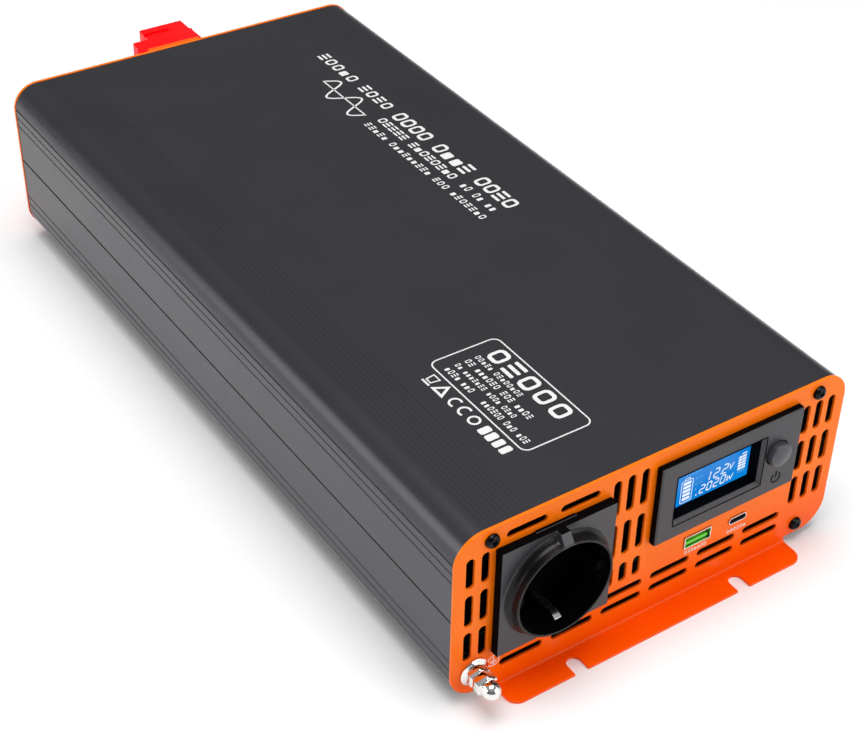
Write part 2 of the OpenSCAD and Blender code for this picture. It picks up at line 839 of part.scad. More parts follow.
// A domed cap with a flange behind the bezel and a stem that presses the switch
module power_button() {
  tip_y = front_y - bezel_out - button_out;
  flange_y = front_y - bezel_out + button_wall + bolt_gap;
  plunger_y = display_board_y - switch_h - plunger_out;
  color("#3c3d41") {
    intersection() {
      rod_y(button_x, tip_y, button_z, button_r, flange_y - tip_y + button_flange_t / 2);
      translate([button_x, tip_y + dome_r, button_z]) sphere(dome_r);
    }
    rod_y(button_x, flange_y, button_z, button_flange_r, button_flange_t);
    rod_y(button_x, flange_y, button_z, button_stem_r, plunger_y - flange_y);
  }
}

module button_switch() {
  switch_y = display_board_y - switch_h;
  color("#17181a") difference() {
    block(button_x - switch_w / 2, switch_y, button_z - switch_w / 2,
      [switch_w, switch_h, switch_w]);
    rod_y(button_x, switch_y - past, button_z, plunger_r + slide_gap,
      past + button_travel + 2 * slide_gap);
  }
}

module switch_plunger() {
  color("#b9c4d0") rod_y(button_x, display_board_y - switch_h - plunger_out, button_z,
    plunger_r, plunger_out + slide_gap);
}

// ---------- charging ports ----------

module port_a_shell() {
  y = front_y - port_out;
  color("#e9eaec") difference() {
    along_y(y, port_a_len) translate([port_a_x, port_z])
      square([port_a_w, port_a_h], center = true);
    along_y(y - past, port_a_len + past - port_a_t) translate([port_a_x, port_z])
      square([port_a_w - 2 * port_a_t, port_a_h - 2 * port_a_t], center = true);
  }
}

module port_a_tongue() {
  color("#55c81e") block(port_a_x - 5.6, front_y + 0.4, port_z - 1.9,
    [11.2, port_a_len - port_a_t - port_out - 0.4, 1.4]);
}

module port_c_shell() {
  y = front_y - port_out;
  color("#e9eaec") difference() {
    along_y(y, port_c_len) stadium(port_c_x, port_z, port_c_w, port_c_h);
    along_y(y - past, port_c_len + past - port_c_t)
      stadium(port_c_x, port_z, port_c_w - 2 * port_c_t, port_c_h - 2 * port_c_t);
  }
}

module port_c_tongue() {
  color("#1b1c1e") block(port_c_x - 3.3, front_y + 0.6, port_z - 0.35,
    [6.6, port_c_len - port_c_t - port_out - 0.6, 0.7]);
}

module port_board() {
  color("#1d6b3a") block(port_a_x - 10, front_in_y + 2, port_board_z, [38, 20, board_t]);
}

// ---------- fans ----------

// The frame with its four struts, motor plate, bearing tube and stator
module fan_frame(x) {
  color("#1b1c1e") difference() {
    union() {
      along_y(fan_y, fan_t) translate([x, fan_z]) difference() {
        square(fan_w, center = true);
        circle(fan_bore_r);
      }
      for (turn = [0, 90]) translate([x, fan_y + fan_plate_t / 2, fan_z]) rotate([0, turn, 0])
        cube([2 * fan_bore_r + 1, fan_plate_t, 2.4], center = true);
      rod_y(x, fan_y, fan_z, fan_hub_r, fan_plate_t);
      rod_y(x, fan_y, fan_z, fan_shaft_r + 2, fan_plate_t + 11);
      rod_y(x, fan_y + fan_plate_t, fan_z, fan_hub_r - 3.4, 8);
    }
    rod_y(x, fan_y + 1, fan_z, fan_shaft_r + bearing_gap, fan_t);
    for (dx = [-1, 1], dz = [-1, 1])
      rod_y(x + dx * fan_hole, fan_y - past, fan_z + dz * fan_hole, fan_hole_r,
        fan_t + 2 * past);
  }
}

// A cup on a shaft with slanted blades whose tips lie on one cylinder
module fan_rotor(x) {
  hub_front = fan_plate_t + 0.8;
  hub_back = fan_t - 4.5;
  blade_r = fan_bore_r - fan_gap;
  color("#2a2b2e") translate([x, fan_y, fan_z]) rotate([-90, 0, 0]) {
    difference() {
      translate([0, 0, hub_front]) cylinder(h = hub_back - hub_front, r = fan_hub_r);
      translate([0, 0, hub_front - past])
        cylinder(h = hub_back - hub_front + past - 1.5, r = fan_hub_r - 1.6);
    }
    translate([0, 0, 1.4]) cylinder(h = hub_back - 2, r = fan_shaft_r);
    intersection() {
      translate([0, 0, hub_front]) difference() {
        cylinder(h = hub_back - hub_front, r = blade_r);
        translate([0, 0, -past]) cylinder(h = fan_t, r = fan_hub_r - 0.5);
      }
      for (i = [0 : fan_blades - 1]) rotate([0, 0, i * 360 / fan_blades])
        translate([(fan_hub_r + blade_r) / 2, 0, (hub_front + hub_back) / 2])
          rotate([38, 0, 0]) cube([blade_r - fan_hub_r + 4, 1.3, 22], center = true);
    }
  }
}

module fan_left_frame() fan_frame(-fan_x);
module fan_right_frame() fan_frame(fan_x);
module fan_left_rotor() fan_rotor(-fan_x);
module fan_right_rotor() fan_rotor(fan_x);

module fan_screws() {
  color("#c9ccd0") for (s = [-1, 1], dx = [-1, 1], dz = [-1, 1])
    pan_screw(s * fan_x + dx * fan_hole, rear_y, fan_z + dz * fan_hole,
      fan_hole_r - slide_gap, fan_screw_len, fan_screw_head_r, fan_screw_head_h, -1);
}

// ---------- battery terminals ----------

// The base stands on the rear plate, with a boss through it and a spigot for the cover
module terminal_base(z) {
  difference() {
    union() {
      along_y(rear_y, base_out) translate([terminal_x, z]) square(base_w, center = true);
      along_y(rear_y, base_out + spigot_out) translate([terminal_x, z])
        square(base_w - 2 * spigot_gap, center = true);
      rod_y(terminal_x, rear_in_y - boss_in, z, boss_r, boss_in + plate_t + past);
    }
    rod_y(terminal_x, rear_in_y - boss_in - past, z, stud_r + bearing_gap,
      base_out + boss_in + 3 * past + spigot_out + plate_t);
  }
}

module terminal_stud(z) {
  start = rear_in_y - stud_in;
  color("#c8a24a") rod_y(terminal_x, start, z, stud_r, stud_end_y - start);
}

// A hood with stepped sides, open at its mouth and at its left side for the cable
module terminal_cover(z) {
  half = base_w / 2;
  difference() {
    for (step = cover_steps)
      block(terminal_x - step[0], cover_y, z - half, [step[0] + step[1], step[2], base_w]);
    for (step = cover_steps)
      block(terminal_x - step[0] + cover_t, cover_y - past, z - half + cover_t,
        [step[0] + step[1] - 2 * cover_t, step[2] + past - cover_t, base_w - 2 * cover_t]);
    translate([terminal_x - 2 * half, cover_y + spigot_out + 1, z]) {
      rotate([0, 90, 0]) cylinder(h = 2 * half - stud_r, r = cable_r);
      translate([0, -2 * cable_r, -cable_r]) cube([2 * half - stud_r, 2 * cable_r, 2 * cable_r]);
    }
  }
}

module terminal_base_pos() { color("#f2561c") terminal_base(pos_z); }
module terminal_base_neg() { color("#232427") terminal_base(neg_z); }
module terminal_stud_pos() terminal_stud(pos_z);
module terminal_stud_neg() terminal_stud(neg_z);
module terminal_cover_pos() { color("#e8101c") terminal_cover(pos_z); }
module terminal_cover_neg() { color("#1b1c1e") terminal_cover(neg_z); }

module terminal_washers() {
  color("#c9ccd0") for (z = [pos_z, neg_z]) difference() {
    rod_y(terminal_x, washer_y, z, washer_r, washer_t);
    rod_y(terminal_x, washer_y - past, z, stud_r + bolt_gap, washer_t + 2 * past);
  }
}

module terminal_nuts() {
  color("#d9dbde") for (z = [pos_z, neg_z])
    hex_nut(terminal_x, nut_y, z, nut_af, nut_h, stud_r + bearing_gap);
}

// One nut holds the stud to the boss and a second one holds the bus bar
module terminal_inner_nuts() {
  seat_y = rear_in_y - boss_in;
  color("#c9ccd0") for (z = [pos_z, neg_z], y = [seat_y - nut_h, seat_y - 2 * nut_h - bar_t])
    hex_nut(terminal_x, y, z, nut_af, nut_h, stud_r + bearing_gap);
}

// A copper bar from the stud, forward between the fans and down to the board
module bus_bar(z, run, shelf_z) {
  left = terminal_x - bar_w / 2;
  low = min(shelf_z, z - bar_w / 2);
  color("#c46a3a") difference() {
    union() {
      block(left, bar_y, low, [bar_w, bar_t, z + bar_w / 2 - low]);
      block(left, bar_y - run, shelf_z, [bar_w, run, bar_t]);
      block(left, bar_y - run, board_top_z, [bar_w, bar_t, shelf_z - board_top_z + bar_t]);
    }
    rod_y(terminal_x, bar_y - past, z, stud_r + bolt_gap, bar_t + 2 * past);
  }
}

module bus_bar_pos() bus_bar(pos_z, pos_run, pos_shelf_z);
module bus_bar_neg() bus_bar(neg_z, neg_run, board_top_z);

// ---------- inside ----------

module main_board() {
  color("#1d6b3a") block(-board_w / 2, board_y, board_z, [board_w, board_len, board_t]);
}

// An upright plate with fins on its outer side, standing on the board
module heat_sink(s) {
  color("#b6b9bd") mirror([s < 0 ? 1 : 0, 0, 0]) along_y(sink_y, sink_len) {
    translate([sink_x, board_top_z]) square([sink_t, sink_h]);
    for (i = [0 : 5]) translate([sink_x, board_top_z + 3 + i * 7]) square([14, 1.6]);
  }
}

module heat_sink_left() heat_sink(-1);
module heat_sink_right() heat_sink(1);

module power_transistors() {
  color("#1b1c1e") for (s = [-1, 1], i = [0 : transistors - 1])
    mirror([s < 0 ? 1 : 0, 0, 0]) translate([sink_x - 5, sink_y + 8 + i * transistor_pitch, 0]) {
      block(0, 0, board_top_z + 12, [5, 16, 20]);
      for (leg = [2, 7.4, 12.8]) block(2, leg, board_top_z, [0.8, 1.2, 12]);
    }
}

module transistor_clips() {
  color("#9a9da1") for (s = [-1, 1]) mirror([s < 0 ? 1 : 0, 0, 0])
    block(sink_x - 6.5, sink_y + 4, board_top_z + 20, [1.5, sink_len - 8, 6]);
}

// Two ferrite frames with a window on each side of the middle leg
module transformer_cores() {
  color("#3a3b3e") for (s = [-1, 1])
    translate([s * 29 - core_w / 2, core_y, board_top_z]) difference() {
      cube([core_w, core_d, core_h]);
      for (x = [8, core_w / 2 + 7]) translate([x, -past, 8])
        cube([core_w / 2 - 15, core_d + 2 * past, core_h - 16]);
    }
}

// The coil fills the two windows and stands out in front of and behind the core
module transformer_windings() {
  coil_h = core_h - 17;
  color("#b5702c") for (s = [-1, 1]) translate([s * 29, core_y, board_top_z + 8.5])
    for (side = [-1, 1]) translate([side * 11 - 3.6, -coil_out, 0])
      cube([7.2, core_d + 2 * coil_out, coil_h]);
}

module input_capacitors() {
  color("#2a3f7a") for (i = [0 : input_caps - 1])
    translate([-50 + i * 20 + (i > 2 ? 4 : 0), can_y, board_top_z]) cylinder(h = 24, r = can_r);
}

module bus_capacitors() {
  color("#2b2c2e") for (s = [-1, 1])
    translate([s * 18, sink_y + 40, board_top_z]) cylinder(h = 45, r = 15);
}

module inductor_cores() {
  color("#d8c24a") for (s = [-1, 1]) translate([s * 26, toroid_y, board_top_z + 19.4])
    rotate([90, 0, 0]) rotate_extrude() translate([12, -5]) square([6, 10]);
}

// Loops of wire round each ring core
module inductor_windings() {
  loops = 14;
  wire_r = 0.6;
  color("#b5702c") for (s = [-1, 1], i = [0 : loops - 1])
    translate([s * 26, toroid_y, board_top_z + 19.4])
      rotate([0, i * 300 / loops - 150, 0]) translate([0, 0, 15]) difference() {
        cube([2 * wire_r, 13, 8.7], center = true);
        cube([2 * wire_r + past, 10.2, 6.2], center = true);
      }
}

module blade_fuses() {
  color("#e08a1e") for (i = [0 : 5])
    block(-40 + i * 14, fuse_y, board_top_z, [5, fuse_d, 14]);
}

module control_board() {
  color("#1d6b3a")
    block(-32, sink_y + 95, board_top_z, [64, board_t, 36]);
}

module control_chips() {
  color("#17181a") for (x = [-24, -8, 10])
    block(x, sink_y + 95 - 2, board_top_z + 14, [10, 2, 10]);
}

module sounder() {
  color("#17181a") translate([60, toroid_y - 24, board_top_z]) cylinder(h = 8, r = 6);
}

case_top();
case_bottom();
front_plate();
front_flange();
rear_plate();
rear_flange();
front_screws();
rear_screws();
earth_stud();
earth_flange_nut();
earth_cap_nut();
earth_inner_nut();
outlet_body();
outlet_rear_cap();
outlet_contacts();
outlet_earth_clips();
display_bezel();
display_panel();
display_frame();
display_board();
power_button();
button_switch();
switch_plunger();
port_a_shell();
port_a_tongue();
port_c_shell();
port_c_tongue();
port_board();
fan_left_frame();
fan_right_frame();
fan_left_rotor();
fan_right_rotor();
fan_screws();
terminal_base_pos();
terminal_base_neg();
terminal_stud_pos();
terminal_stud_neg();
terminal_washers();
terminal_nuts();
terminal_inner_nuts();
terminal_cover_pos();
terminal_cover_neg();
bus_bar_pos();
bus_bar_neg();
main_board();
heat_sink_left();
heat_sink_right();
power_transistors();
transistor_clips();
transformer_cores();
transformer_windings();
input_capacitors();
bus_capacitors();
inductor_cores();
inductor_windings();
blade_fuses();
control_board();
control_chips();
sounder();
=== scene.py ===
# %% [markdown]
# # A power inverter
#
# The part is already packed: every solid has its size, its place and its joints.
# This notebook dresses it. Some solids keep their own mesh and only get a finish.
# Others are replaced by a piece with the rounded edges or print that the real one
# shows. Everything is in metres, in the frame of the imported part.

# %% Load the imported part
import json
import math
import random

import bmesh
import bpy
from mathutils import Matrix, Quaternion, Vector


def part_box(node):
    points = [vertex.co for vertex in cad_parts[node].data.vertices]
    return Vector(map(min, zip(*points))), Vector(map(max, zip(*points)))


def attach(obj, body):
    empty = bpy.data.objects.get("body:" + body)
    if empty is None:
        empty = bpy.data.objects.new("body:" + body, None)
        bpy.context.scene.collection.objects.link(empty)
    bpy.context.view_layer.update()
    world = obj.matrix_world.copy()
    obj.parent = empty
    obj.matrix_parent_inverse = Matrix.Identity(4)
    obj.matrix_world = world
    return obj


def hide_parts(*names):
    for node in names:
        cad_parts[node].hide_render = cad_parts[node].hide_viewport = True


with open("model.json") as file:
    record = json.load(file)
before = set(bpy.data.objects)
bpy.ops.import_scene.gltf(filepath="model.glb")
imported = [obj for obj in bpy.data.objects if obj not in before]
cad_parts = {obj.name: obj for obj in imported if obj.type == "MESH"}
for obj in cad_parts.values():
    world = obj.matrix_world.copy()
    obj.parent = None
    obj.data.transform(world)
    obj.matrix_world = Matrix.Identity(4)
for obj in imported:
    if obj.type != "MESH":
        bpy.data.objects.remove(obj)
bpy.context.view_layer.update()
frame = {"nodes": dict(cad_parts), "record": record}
nodes = frame["nodes"]

# %% [markdown]
# Sizes are easier to read in millimetres, so small helpers turn them into metres.
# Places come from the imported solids, so a piece always sits where its solid does.

# %% Millimetres and boxes
MM = 0.001


def box_mm(node):
    """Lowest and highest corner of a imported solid, in millimetres."""
    low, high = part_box(node)
    return [c / MM for c in low], [c / MM for c in high]


def middle_mm(node):
    low, high = box_mm(node)
    return [(a + b) / 2 for a, b in zip(low, high)]


plate_low, plate_high = box_mm("front_plate")
rear_low, rear_high = box_mm("rear_plate")
SHEET = 1.2
FRONT = plate_high[1] - SHEET  # outer face of the front plate
REAR = rear_low[1] + SHEET  # outer face of the rear plate
TOP = plate_high[2]
CASE_TOP = box_mm("case_top")[1][2]
MIDDLE_Y = (FRONT + REAR) / 2
print("front face", FRONT, "rear face", REAR, "top", TOP)

# %% [markdown]
# ## The view
# The object is seen from above, with its outlet end towards us and to the right.
# A long lens keeps the far end large. The lens is fixed by the true proportions of
# the case, so its place is a plain point and the point that it looks at.

# %% Camera
eye = Vector((-337.7, MIDDLE_Y - 531.0, 480.8)) * MM
aim = Vector((10.5, MIDDLE_Y - 74.4, 40.0)) * MM
lens = bpy.data.cameras.new("camera")
lens.sensor_width = 36
lens.lens = 74.12
lens.shift_x = -0.0915
lens.shift_y = -0.0031
lens.clip_start = 0.02
camera = bpy.data.objects.new("camera", lens)
look = (aim - eye).to_track_quat("-Z", "Y") @ Quaternion((0, 0, 1), math.radians(3.11))
camera.matrix_world = Matrix.LocRotScale(eye, look, None)
bpy.context.collection.objects.link(camera)
bpy.context.scene.camera = camera
print("camera", [round(c, 3) for c in eye])


# %% [markdown]
# ## Finishes
# Colours are given as screen hex codes and turned to linear light by one function.
# Another one adds a node with its settings, values and links. A pattern's scale is
# the inverse of a real size, so `per(0.5)` is one feature every half millimetre.

# %% Material helpers
def linear(code):
    """A hex colour as linear red, green, blue and alpha."""
    channels = [int(code[i : i + 2], 16) / 255 for i in (1, 3, 5)]
    return [
        ((c + 0.055) / 1.055) ** 2.4 if c > 0.04045 else c / 12.92 for c in channels
    ] + [1.0]


def per(size_mm):
    """Features to a metre, for one feature every size_mm."""
    return 1 / (size_mm * MM)


def add(tree, kind, values=None, **settings):
    """One node with its settings, its values and its links."""
    made = tree.nodes.new(kind)
    for name, value in settings.items():
        setattr(made, name, value)
    for socket, value in (values or {}).items():
        if isinstance(value, bpy.types.NodeSocket):
            tree.links.new(value, made.inputs[socket])
        else:
            made.inputs[socket].default_value = value
    return made


def start(name, **constants):
    """A material whose shader has the constants, with underscores for spaces."""
    material = bpy.data.materials.new(name)
    material.use_nodes = True
    tree = material.node_tree
    shader = tree.nodes["Principled BSDF"]
    for key, value in constants.items():
        shader.inputs[key.replace("_", " ")].default_value = value
    place = add(tree, "ShaderNodeTexCoord").outputs["Object"]
    return material, tree, shader, place


def noise(tree, place, size_mm, detail=2.0, stretch=(1, 1, 1)):
    """Noise with one feature every size_mm, drawn out by stretch along each axis."""
    where = place
    if stretch != (1, 1, 1):
        where = add(
            tree, "ShaderNodeMapping", {"Vector": place, "Scale": [1 / s for s in stretch]}
        ).outputs[0]
    return add(
        tree, "ShaderNodeTexNoise", {"Vector": where, "Scale": per(size_mm), "Detail": detail}
    ).outputs["Fac"]


def between(tree, factor, low, high):
    """The factor, usually 0.3 to 0.7 for noise, spread over low to high."""
    return add(
        tree,
        "ShaderNodeMapRange",
        {"Value": factor, "From Min": 0.3, "From Max": 0.7, "To Min": low, "To Max": high},
    ).outputs["Result"]


def tint(tree, shader, factor, first, second):
    """Base colour that wanders between two hex colours."""
    mixed = add(
        tree,
        "ShaderNodeMix",
        {"Factor": factor, "A": linear(first), "B": linear(second)},
        data_type="RGBA",
    )
    colour = [s for s in mixed.outputs if s.type == "RGBA"][0]
    tree.links.new(colour, shader.inputs["Base Color"])
    return colour


def relief(tree, shader, height, depth_mm, strength=1.0):
    """Bump of the given depth."""
    bump = add(
        tree,
        "ShaderNodeBump",
        {"Height": height, "Distance": depth_mm * MM, "Strength": strength},
    )
    tree.links.new(bump.outputs["Normal"], shader.inputs["Normal"])
    return bump


# %% [markdown]
# ### Charcoal anodised aluminium
# The case is extruded, blasted and anodised. The eye sees a dark, soft sheen with
# faint lines along the length from the die, and a very fine grain from the blasting.

# %% Anodised aluminium
def anodised(name, dark, light):
    material, tree, shader, place = start(name, Metallic=0.55, Specular_IOR_Level=0.5)
    die_lines = noise(tree, place, 0.9, 3, (1, 260, 1))
    # the real grain is under 0.1 mm, drawn at 0.45 mm so that it shows
    grain = noise(tree, place, 0.45, 3)
    cloud = noise(tree, place, 38, 2)
    tint(tree, shader, between(tree, cloud, 0.1, 0.9), dark, light)
    tree.links.new(between(tree, grain, 0.25, 0.34), shader.inputs["Roughness"])
    fine = relief(tree, shader, grain, 0.02, 0.35)
    lines = add(tree, "ShaderNodeBump", {"Height": die_lines, "Distance": 0.02 * MM, "Strength": 0.25})
    tree.links.new(fine.outputs["Normal"], lines.inputs["Normal"])
    tree.links.new(lines.outputs["Normal"], shader.inputs["Normal"])
    return material


case_finish = anodised("charcoal_anodised_aluminium", "#3d3d40", "#404044")
print(case_finish.name)


# %% [markdown]
# ### Orange powder coat
# Powder melts into a thick glossy skin that never goes quite flat: it keeps a slight
# orange-peel ripple about a millimetre across, and it rounds the sheet's edges. The
# orange carries painted shade and light: deeper low down towards the flange, brighter higher up.

# %% Powder coat
def powder_coat(name, deep, bright):
    material, tree, shader, place = start(
        name, Specular_IOR_Level=0.12, Coat_Weight=0.08, Coat_Roughness=0.1, Coat_IOR=1.4
    )
    peel = noise(tree, place, 1.1, 1)
    speck = noise(tree, place, 0.35, 2)
    cloud = noise(tree, place, 24, 2)
    # painted shade and light: the orange is deeper towards the bottom and brighter with height
    height = add(tree, "ShaderNodeSeparateXYZ", {"Vector": place}).outputs["Z"]
    rise = add(
        tree, "ShaderNodeMapRange", {"Value": height, "From Min": 0.0, "From Max": 38 * MM}
    ).outputs["Result"]
    painted_light_by_height = add(
        tree, "ShaderNodeMath", {0: rise, 1: between(tree, cloud, 0.88, 1.0)}, operation="MULTIPLY"
    ).outputs[0]
    tint(tree, shader, painted_light_by_height, deep, bright)
    tree.links.new(between(tree, speck, 0.24, 0.34), shader.inputs["Roughness"])
    ripple = relief(tree, shader, peel, 0.03, 0.35)
    tree.links.new(ripple.outputs["Normal"], shader.inputs["Coat Normal"])
    return material


orange_finish = powder_coat("orange_powder_coat", "#fc5400", "#ff7808")
print(orange_finish.name)


# %% [markdown]
# ### Moulded plastics
# ABS and polycarbonate parts take the texture of their mould. A spark-eroded mould
# gives a fine even grain that makes black look dark grey; a polished one stays glossy.

# %% Moulded plastics
def moulded(name, dark, light, rough=(0.38, 0.5), grain_mm=0.4, depth_mm=0.02, **extra):
    material, tree, shader, place = start(name, IOR=1.53, **extra)
    grain = noise(tree, place, grain_mm, 3)
    cloud = noise(tree, place, 12, 2)
    tint(tree, shader, between(tree, cloud, 0.2, 0.8), dark, light)
    tree.links.new(between(tree, grain, *rough), shader.inputs["Roughness"])
    relief(tree, shader, grain, depth_mm, 0.4)
    return material


bezel_finish = moulded("textured_black_abs", "#2c2b2f", "#323135")
outlet_finish = moulded("grained_black_polycarbonate", "#29282c", "#2f2e32", (0.3, 0.42))
# the collar is the outlet's own plastic with a satin skin; its near-black colour is painted shade
collar_painted_shade_finish = moulded(
    "satin_polycarbonate_painted_shade_black", "#08080a", "#0c0c0e", (0.26, 0.32), 0.8, 0.002,
    Specular_IOR_Level=0.2,
)
# near black with almost no gloss: painted shade for the walls and wells of the outlet and the display surround
painted_shade_black_finish = moulded(
    "painted_shade_black_abs", "#020202", "#030303", (0.7, 0.85), 0.8, 0.006, Specular_IOR_Level=0.04
)
button_finish = moulded("satin_grey_abs_button", "#3b3b3f", "#414146", (0.3, 0.4))
black_finish = moulded("black_nylon", "#141416", "#1a1a1d", (0.4, 0.55))
fan_finish = moulded("black_pbt_fan", "#161618", "#1d1d20", (0.34, 0.46))
red_finish = moulded(
    "glossy_red_pvc", "#f20208", "#fa060c", (0.24, 0.36), 1.2, 0.01, Specular_IOR_Level=0.2
)
base_finish = moulded(
    "orange_nylon", "#fa5a06", "#ff640c", (0.34, 0.46), Specular_IOR_Level=0.25
)
green_finish = moulded("green_pbt", "#5bd420", "#6ee22c", (0.24, 0.34))
white_finish = moulded("white_abs", "#dcdcd8", "#e8e8e4", (0.34, 0.46))
epoxy_finish = moulded("black_moulded_epoxy", "#151517", "#1e1e20", (0.45, 0.6), 0.3)
ferrite_finish = moulded("sintered_ferrite", "#2c2c2f", "#38383b", (0.5, 0.7), 0.6, 0.04)
ring_finish = moulded("yellow_painted_iron_ring", "#cbb23e", "#d8c24a", (0.4, 0.55), 0.8, 0.04)
sleeve_finish = moulded("blue_shrink_sleeve", "#26397a", "#2f4690", (0.22, 0.34), 2.0, 0.02)
fuse_finish = moulded("orange_fuse_plastic", "#dc7c14", "#ec8e24", (0.18, 0.28))
print("plastics ready")


# %% [markdown]
# ### Bare and plated metals
# Nickel and chrome plate mirror the room and only smear it a little. Zinc plate is
# softer and slightly blue. Black oxide on steel keeps a dark oily gloss.

# %% Metals
def metal(name, dark, light, rough, grain_mm=0.6, stretch=(1, 1, 1), depth_mm=0.006):
    material, tree, shader, place = start(name, Metallic=1.0)
    smear = noise(tree, place, grain_mm, 3, stretch)
    cloud = noise(tree, place, 5, 2)
    tint(tree, shader, between(tree, cloud, 0.2, 0.8), dark, light)
    tree.links.new(between(tree, smear, *rough), shader.inputs["Roughness"])
    relief(tree, shader, smear, depth_mm, 0.3)
    return material


chrome_finish = metal("bright_nickel_plate", "#e2e0dc", "#f2f0ec", (0.03, 0.09))
zinc_finish = metal("zinc_plated_steel", "#bfc3c8", "#cfd2d6", (0.2, 0.34))
shell_finish = metal("nickel_plated_port_shell", "#d6d7d9", "#e6e7e9", (0.16, 0.28))
brass_finish = metal("turned_brass", "#c49a40", "#d4ad58", (0.16, 0.3), 0.5, (1, 1, 1))
copper_finish = metal("rolled_copper_bar", "#b9623a", "#cc7448", (0.24, 0.4), 0.7, (1, 20, 1))
wire_finish = metal("enamelled_copper_wire", "#a85f22", "#bd7430", (0.2, 0.32))
sink_finish = metal("bare_extruded_aluminium", "#a9acb0", "#bbbec2", (0.3, 0.45), 0.8, (1, 60, 1))
screw_finish = metal("black_oxide_steel", "#1c1c1e", "#29292c", (0.12, 0.24), 0.5)
print("metals ready")


# %% [markdown]
# ### Boards, display and ink
# Solder mask is a thin glossy green lacquer over glass weave. The display is lit from
# behind, so it glows a little. The print is matt white ink.

# %% Boards, display and ink
def solder_mask(name, dark, light):
    material, tree, shader, place = start(name, IOR=1.5, Coat_Weight=0.3)
    # glass cloth has about two threads a millimetre
    weave = add(
        tree, "ShaderNodeTexWave", {"Vector": place, "Scale": per(8.0), "Distortion": 0.4}
    ).outputs["Fac"]
    cloud = noise(tree, place, 9, 3)
    tint(tree, shader, between(tree, cloud, 0.2, 0.8), dark, light)
    tree.links.new(between(tree, cloud, 0.22, 0.34), shader.inputs["Roughness"])
    relief(tree, shader, weave, 0.01, 0.2)
    return material


def glowing(name, dark, light, glow):
    """A lit surface behind clear plastic; unlit it would be nearly black."""
    material, tree, shader, place = start(
        name, Roughness=0.25, Emission_Strength=glow, Specular_IOR_Level=0.15
    )
    shader.inputs["Base Color"].default_value = linear("#04060a")
    spread = noise(tree, place, 16, 1)
    mixed = add(
        tree,
        "ShaderNodeMix",
        {"Factor": between(tree, spread, 0.2, 0.8), "A": linear(dark), "B": linear(light)},
        data_type="RGBA",
    )
    colour = [s for s in mixed.outputs if s.type == "RGBA"][0]
    tree.links.new(colour, shader.inputs["Emission Color"])
    return material


def ink(name, dark, light):
    material, tree, shader, place = start(name, IOR=1.45)
    mesh_marks = noise(tree, place, 0.5, 2)
    tint(tree, shader, between(tree, mesh_marks, 0.1, 0.9), dark, light)
    tree.links.new(between(tree, mesh_marks, 0.5, 0.65), shader.inputs["Roughness"])
    return material


# the green is kept dark: painted shade for the inside of the case, seen only through the vents
board_finish = solder_mask("green_solder_mask", "#0c2e19", "#123d22")
display_finish = glowing("lit_blue_display", "#067ad2", "#0a88de", 1.0)
segment_finish = glowing("lit_white_segments", "#e6f2ff", "#f4faff", 1.0)
faint_finish = glowing("faint_blue_segments", "#5aa8e8", "#74b8f0", 0.9)
white_ink = ink("white_screen_print_ink", "#d4d4d2", "#e4e4e2")
black_ink = ink("black_filled_engraving", "#0a0a0b", "#101012")
print("display, boards and ink ready")


# %% [markdown]
# ## Giving each solid its finish
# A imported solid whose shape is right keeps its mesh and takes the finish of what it
# is made of. This table goes from the record's material slots to the finishes above.

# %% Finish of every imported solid
FINISH = {
    "anodised": case_finish,
    "orange_coat": orange_finish,
    "black_steel": screw_finish,
    "zinc_steel": zinc_finish,
    "chrome": chrome_finish,
    "black_plastic": black_finish,
    "button_plastic": button_finish,
    "display": display_finish,
    "white_plastic": white_finish,
    "board_green": board_finish,
    "green_plastic": green_finish,
    "fan_plastic": fan_finish,
    "red_plastic": red_finish,
    "brass": brass_finish,
    "copper": copper_finish,
    "bare_aluminium": sink_finish,
    "epoxy": epoxy_finish,
    "ferrite": ferrite_finish,
    "enamelled_copper": wire_finish,
    "sleeve_blue": sleeve_finish,
    "ring_core": ring_finish,
    "fuse_plastic": fuse_finish,
}
SPECIAL = {
    "outlet_body": outlet_finish,
    "display_bezel": bezel_finish,
    "terminal_base_pos": base_finish,
    "port_a_shell": shell_finish,
    "port_c_shell": shell_finish,
}
slot_of = {s["node"]: s["material_slot"] for s in frame["record"]["subparts"]}
for name, solid in nodes.items():
    finish = SPECIAL.get(name, FINISH[slot_of[name]])
    for material_slot in solid.material_slots:
        material_slot.material = finish
print("finishes on", len(nodes), "solids")


# %% [markdown]
# ## Rounded copies
# A modelled solid has knife edges, and no real part has. Light catches on the small
# radius that a mould, a press or a coat of powder leaves. A rounded copy starts from
# the solid's own mesh: loose triangles are merged, flat areas become single faces,
# and a Bevel modifier rounds each edge sharper than 30 degrees.

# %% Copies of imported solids
body_of_node = {}
for body, names in frame["record"]["behaviour"]["bodies"].items():
    for name in names:
        body_of_node[name] = body


def keep(piece, *node_names, body=None):
    """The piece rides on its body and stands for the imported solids."""
    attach(piece, body or body_of_node[node_names[0]])
    if node_names:
        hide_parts(*node_names)
    return piece


def add_object(name, mesh):
    made = bpy.data.objects.new(name, mesh)
    bpy.context.collection.objects.link(made)
    return made


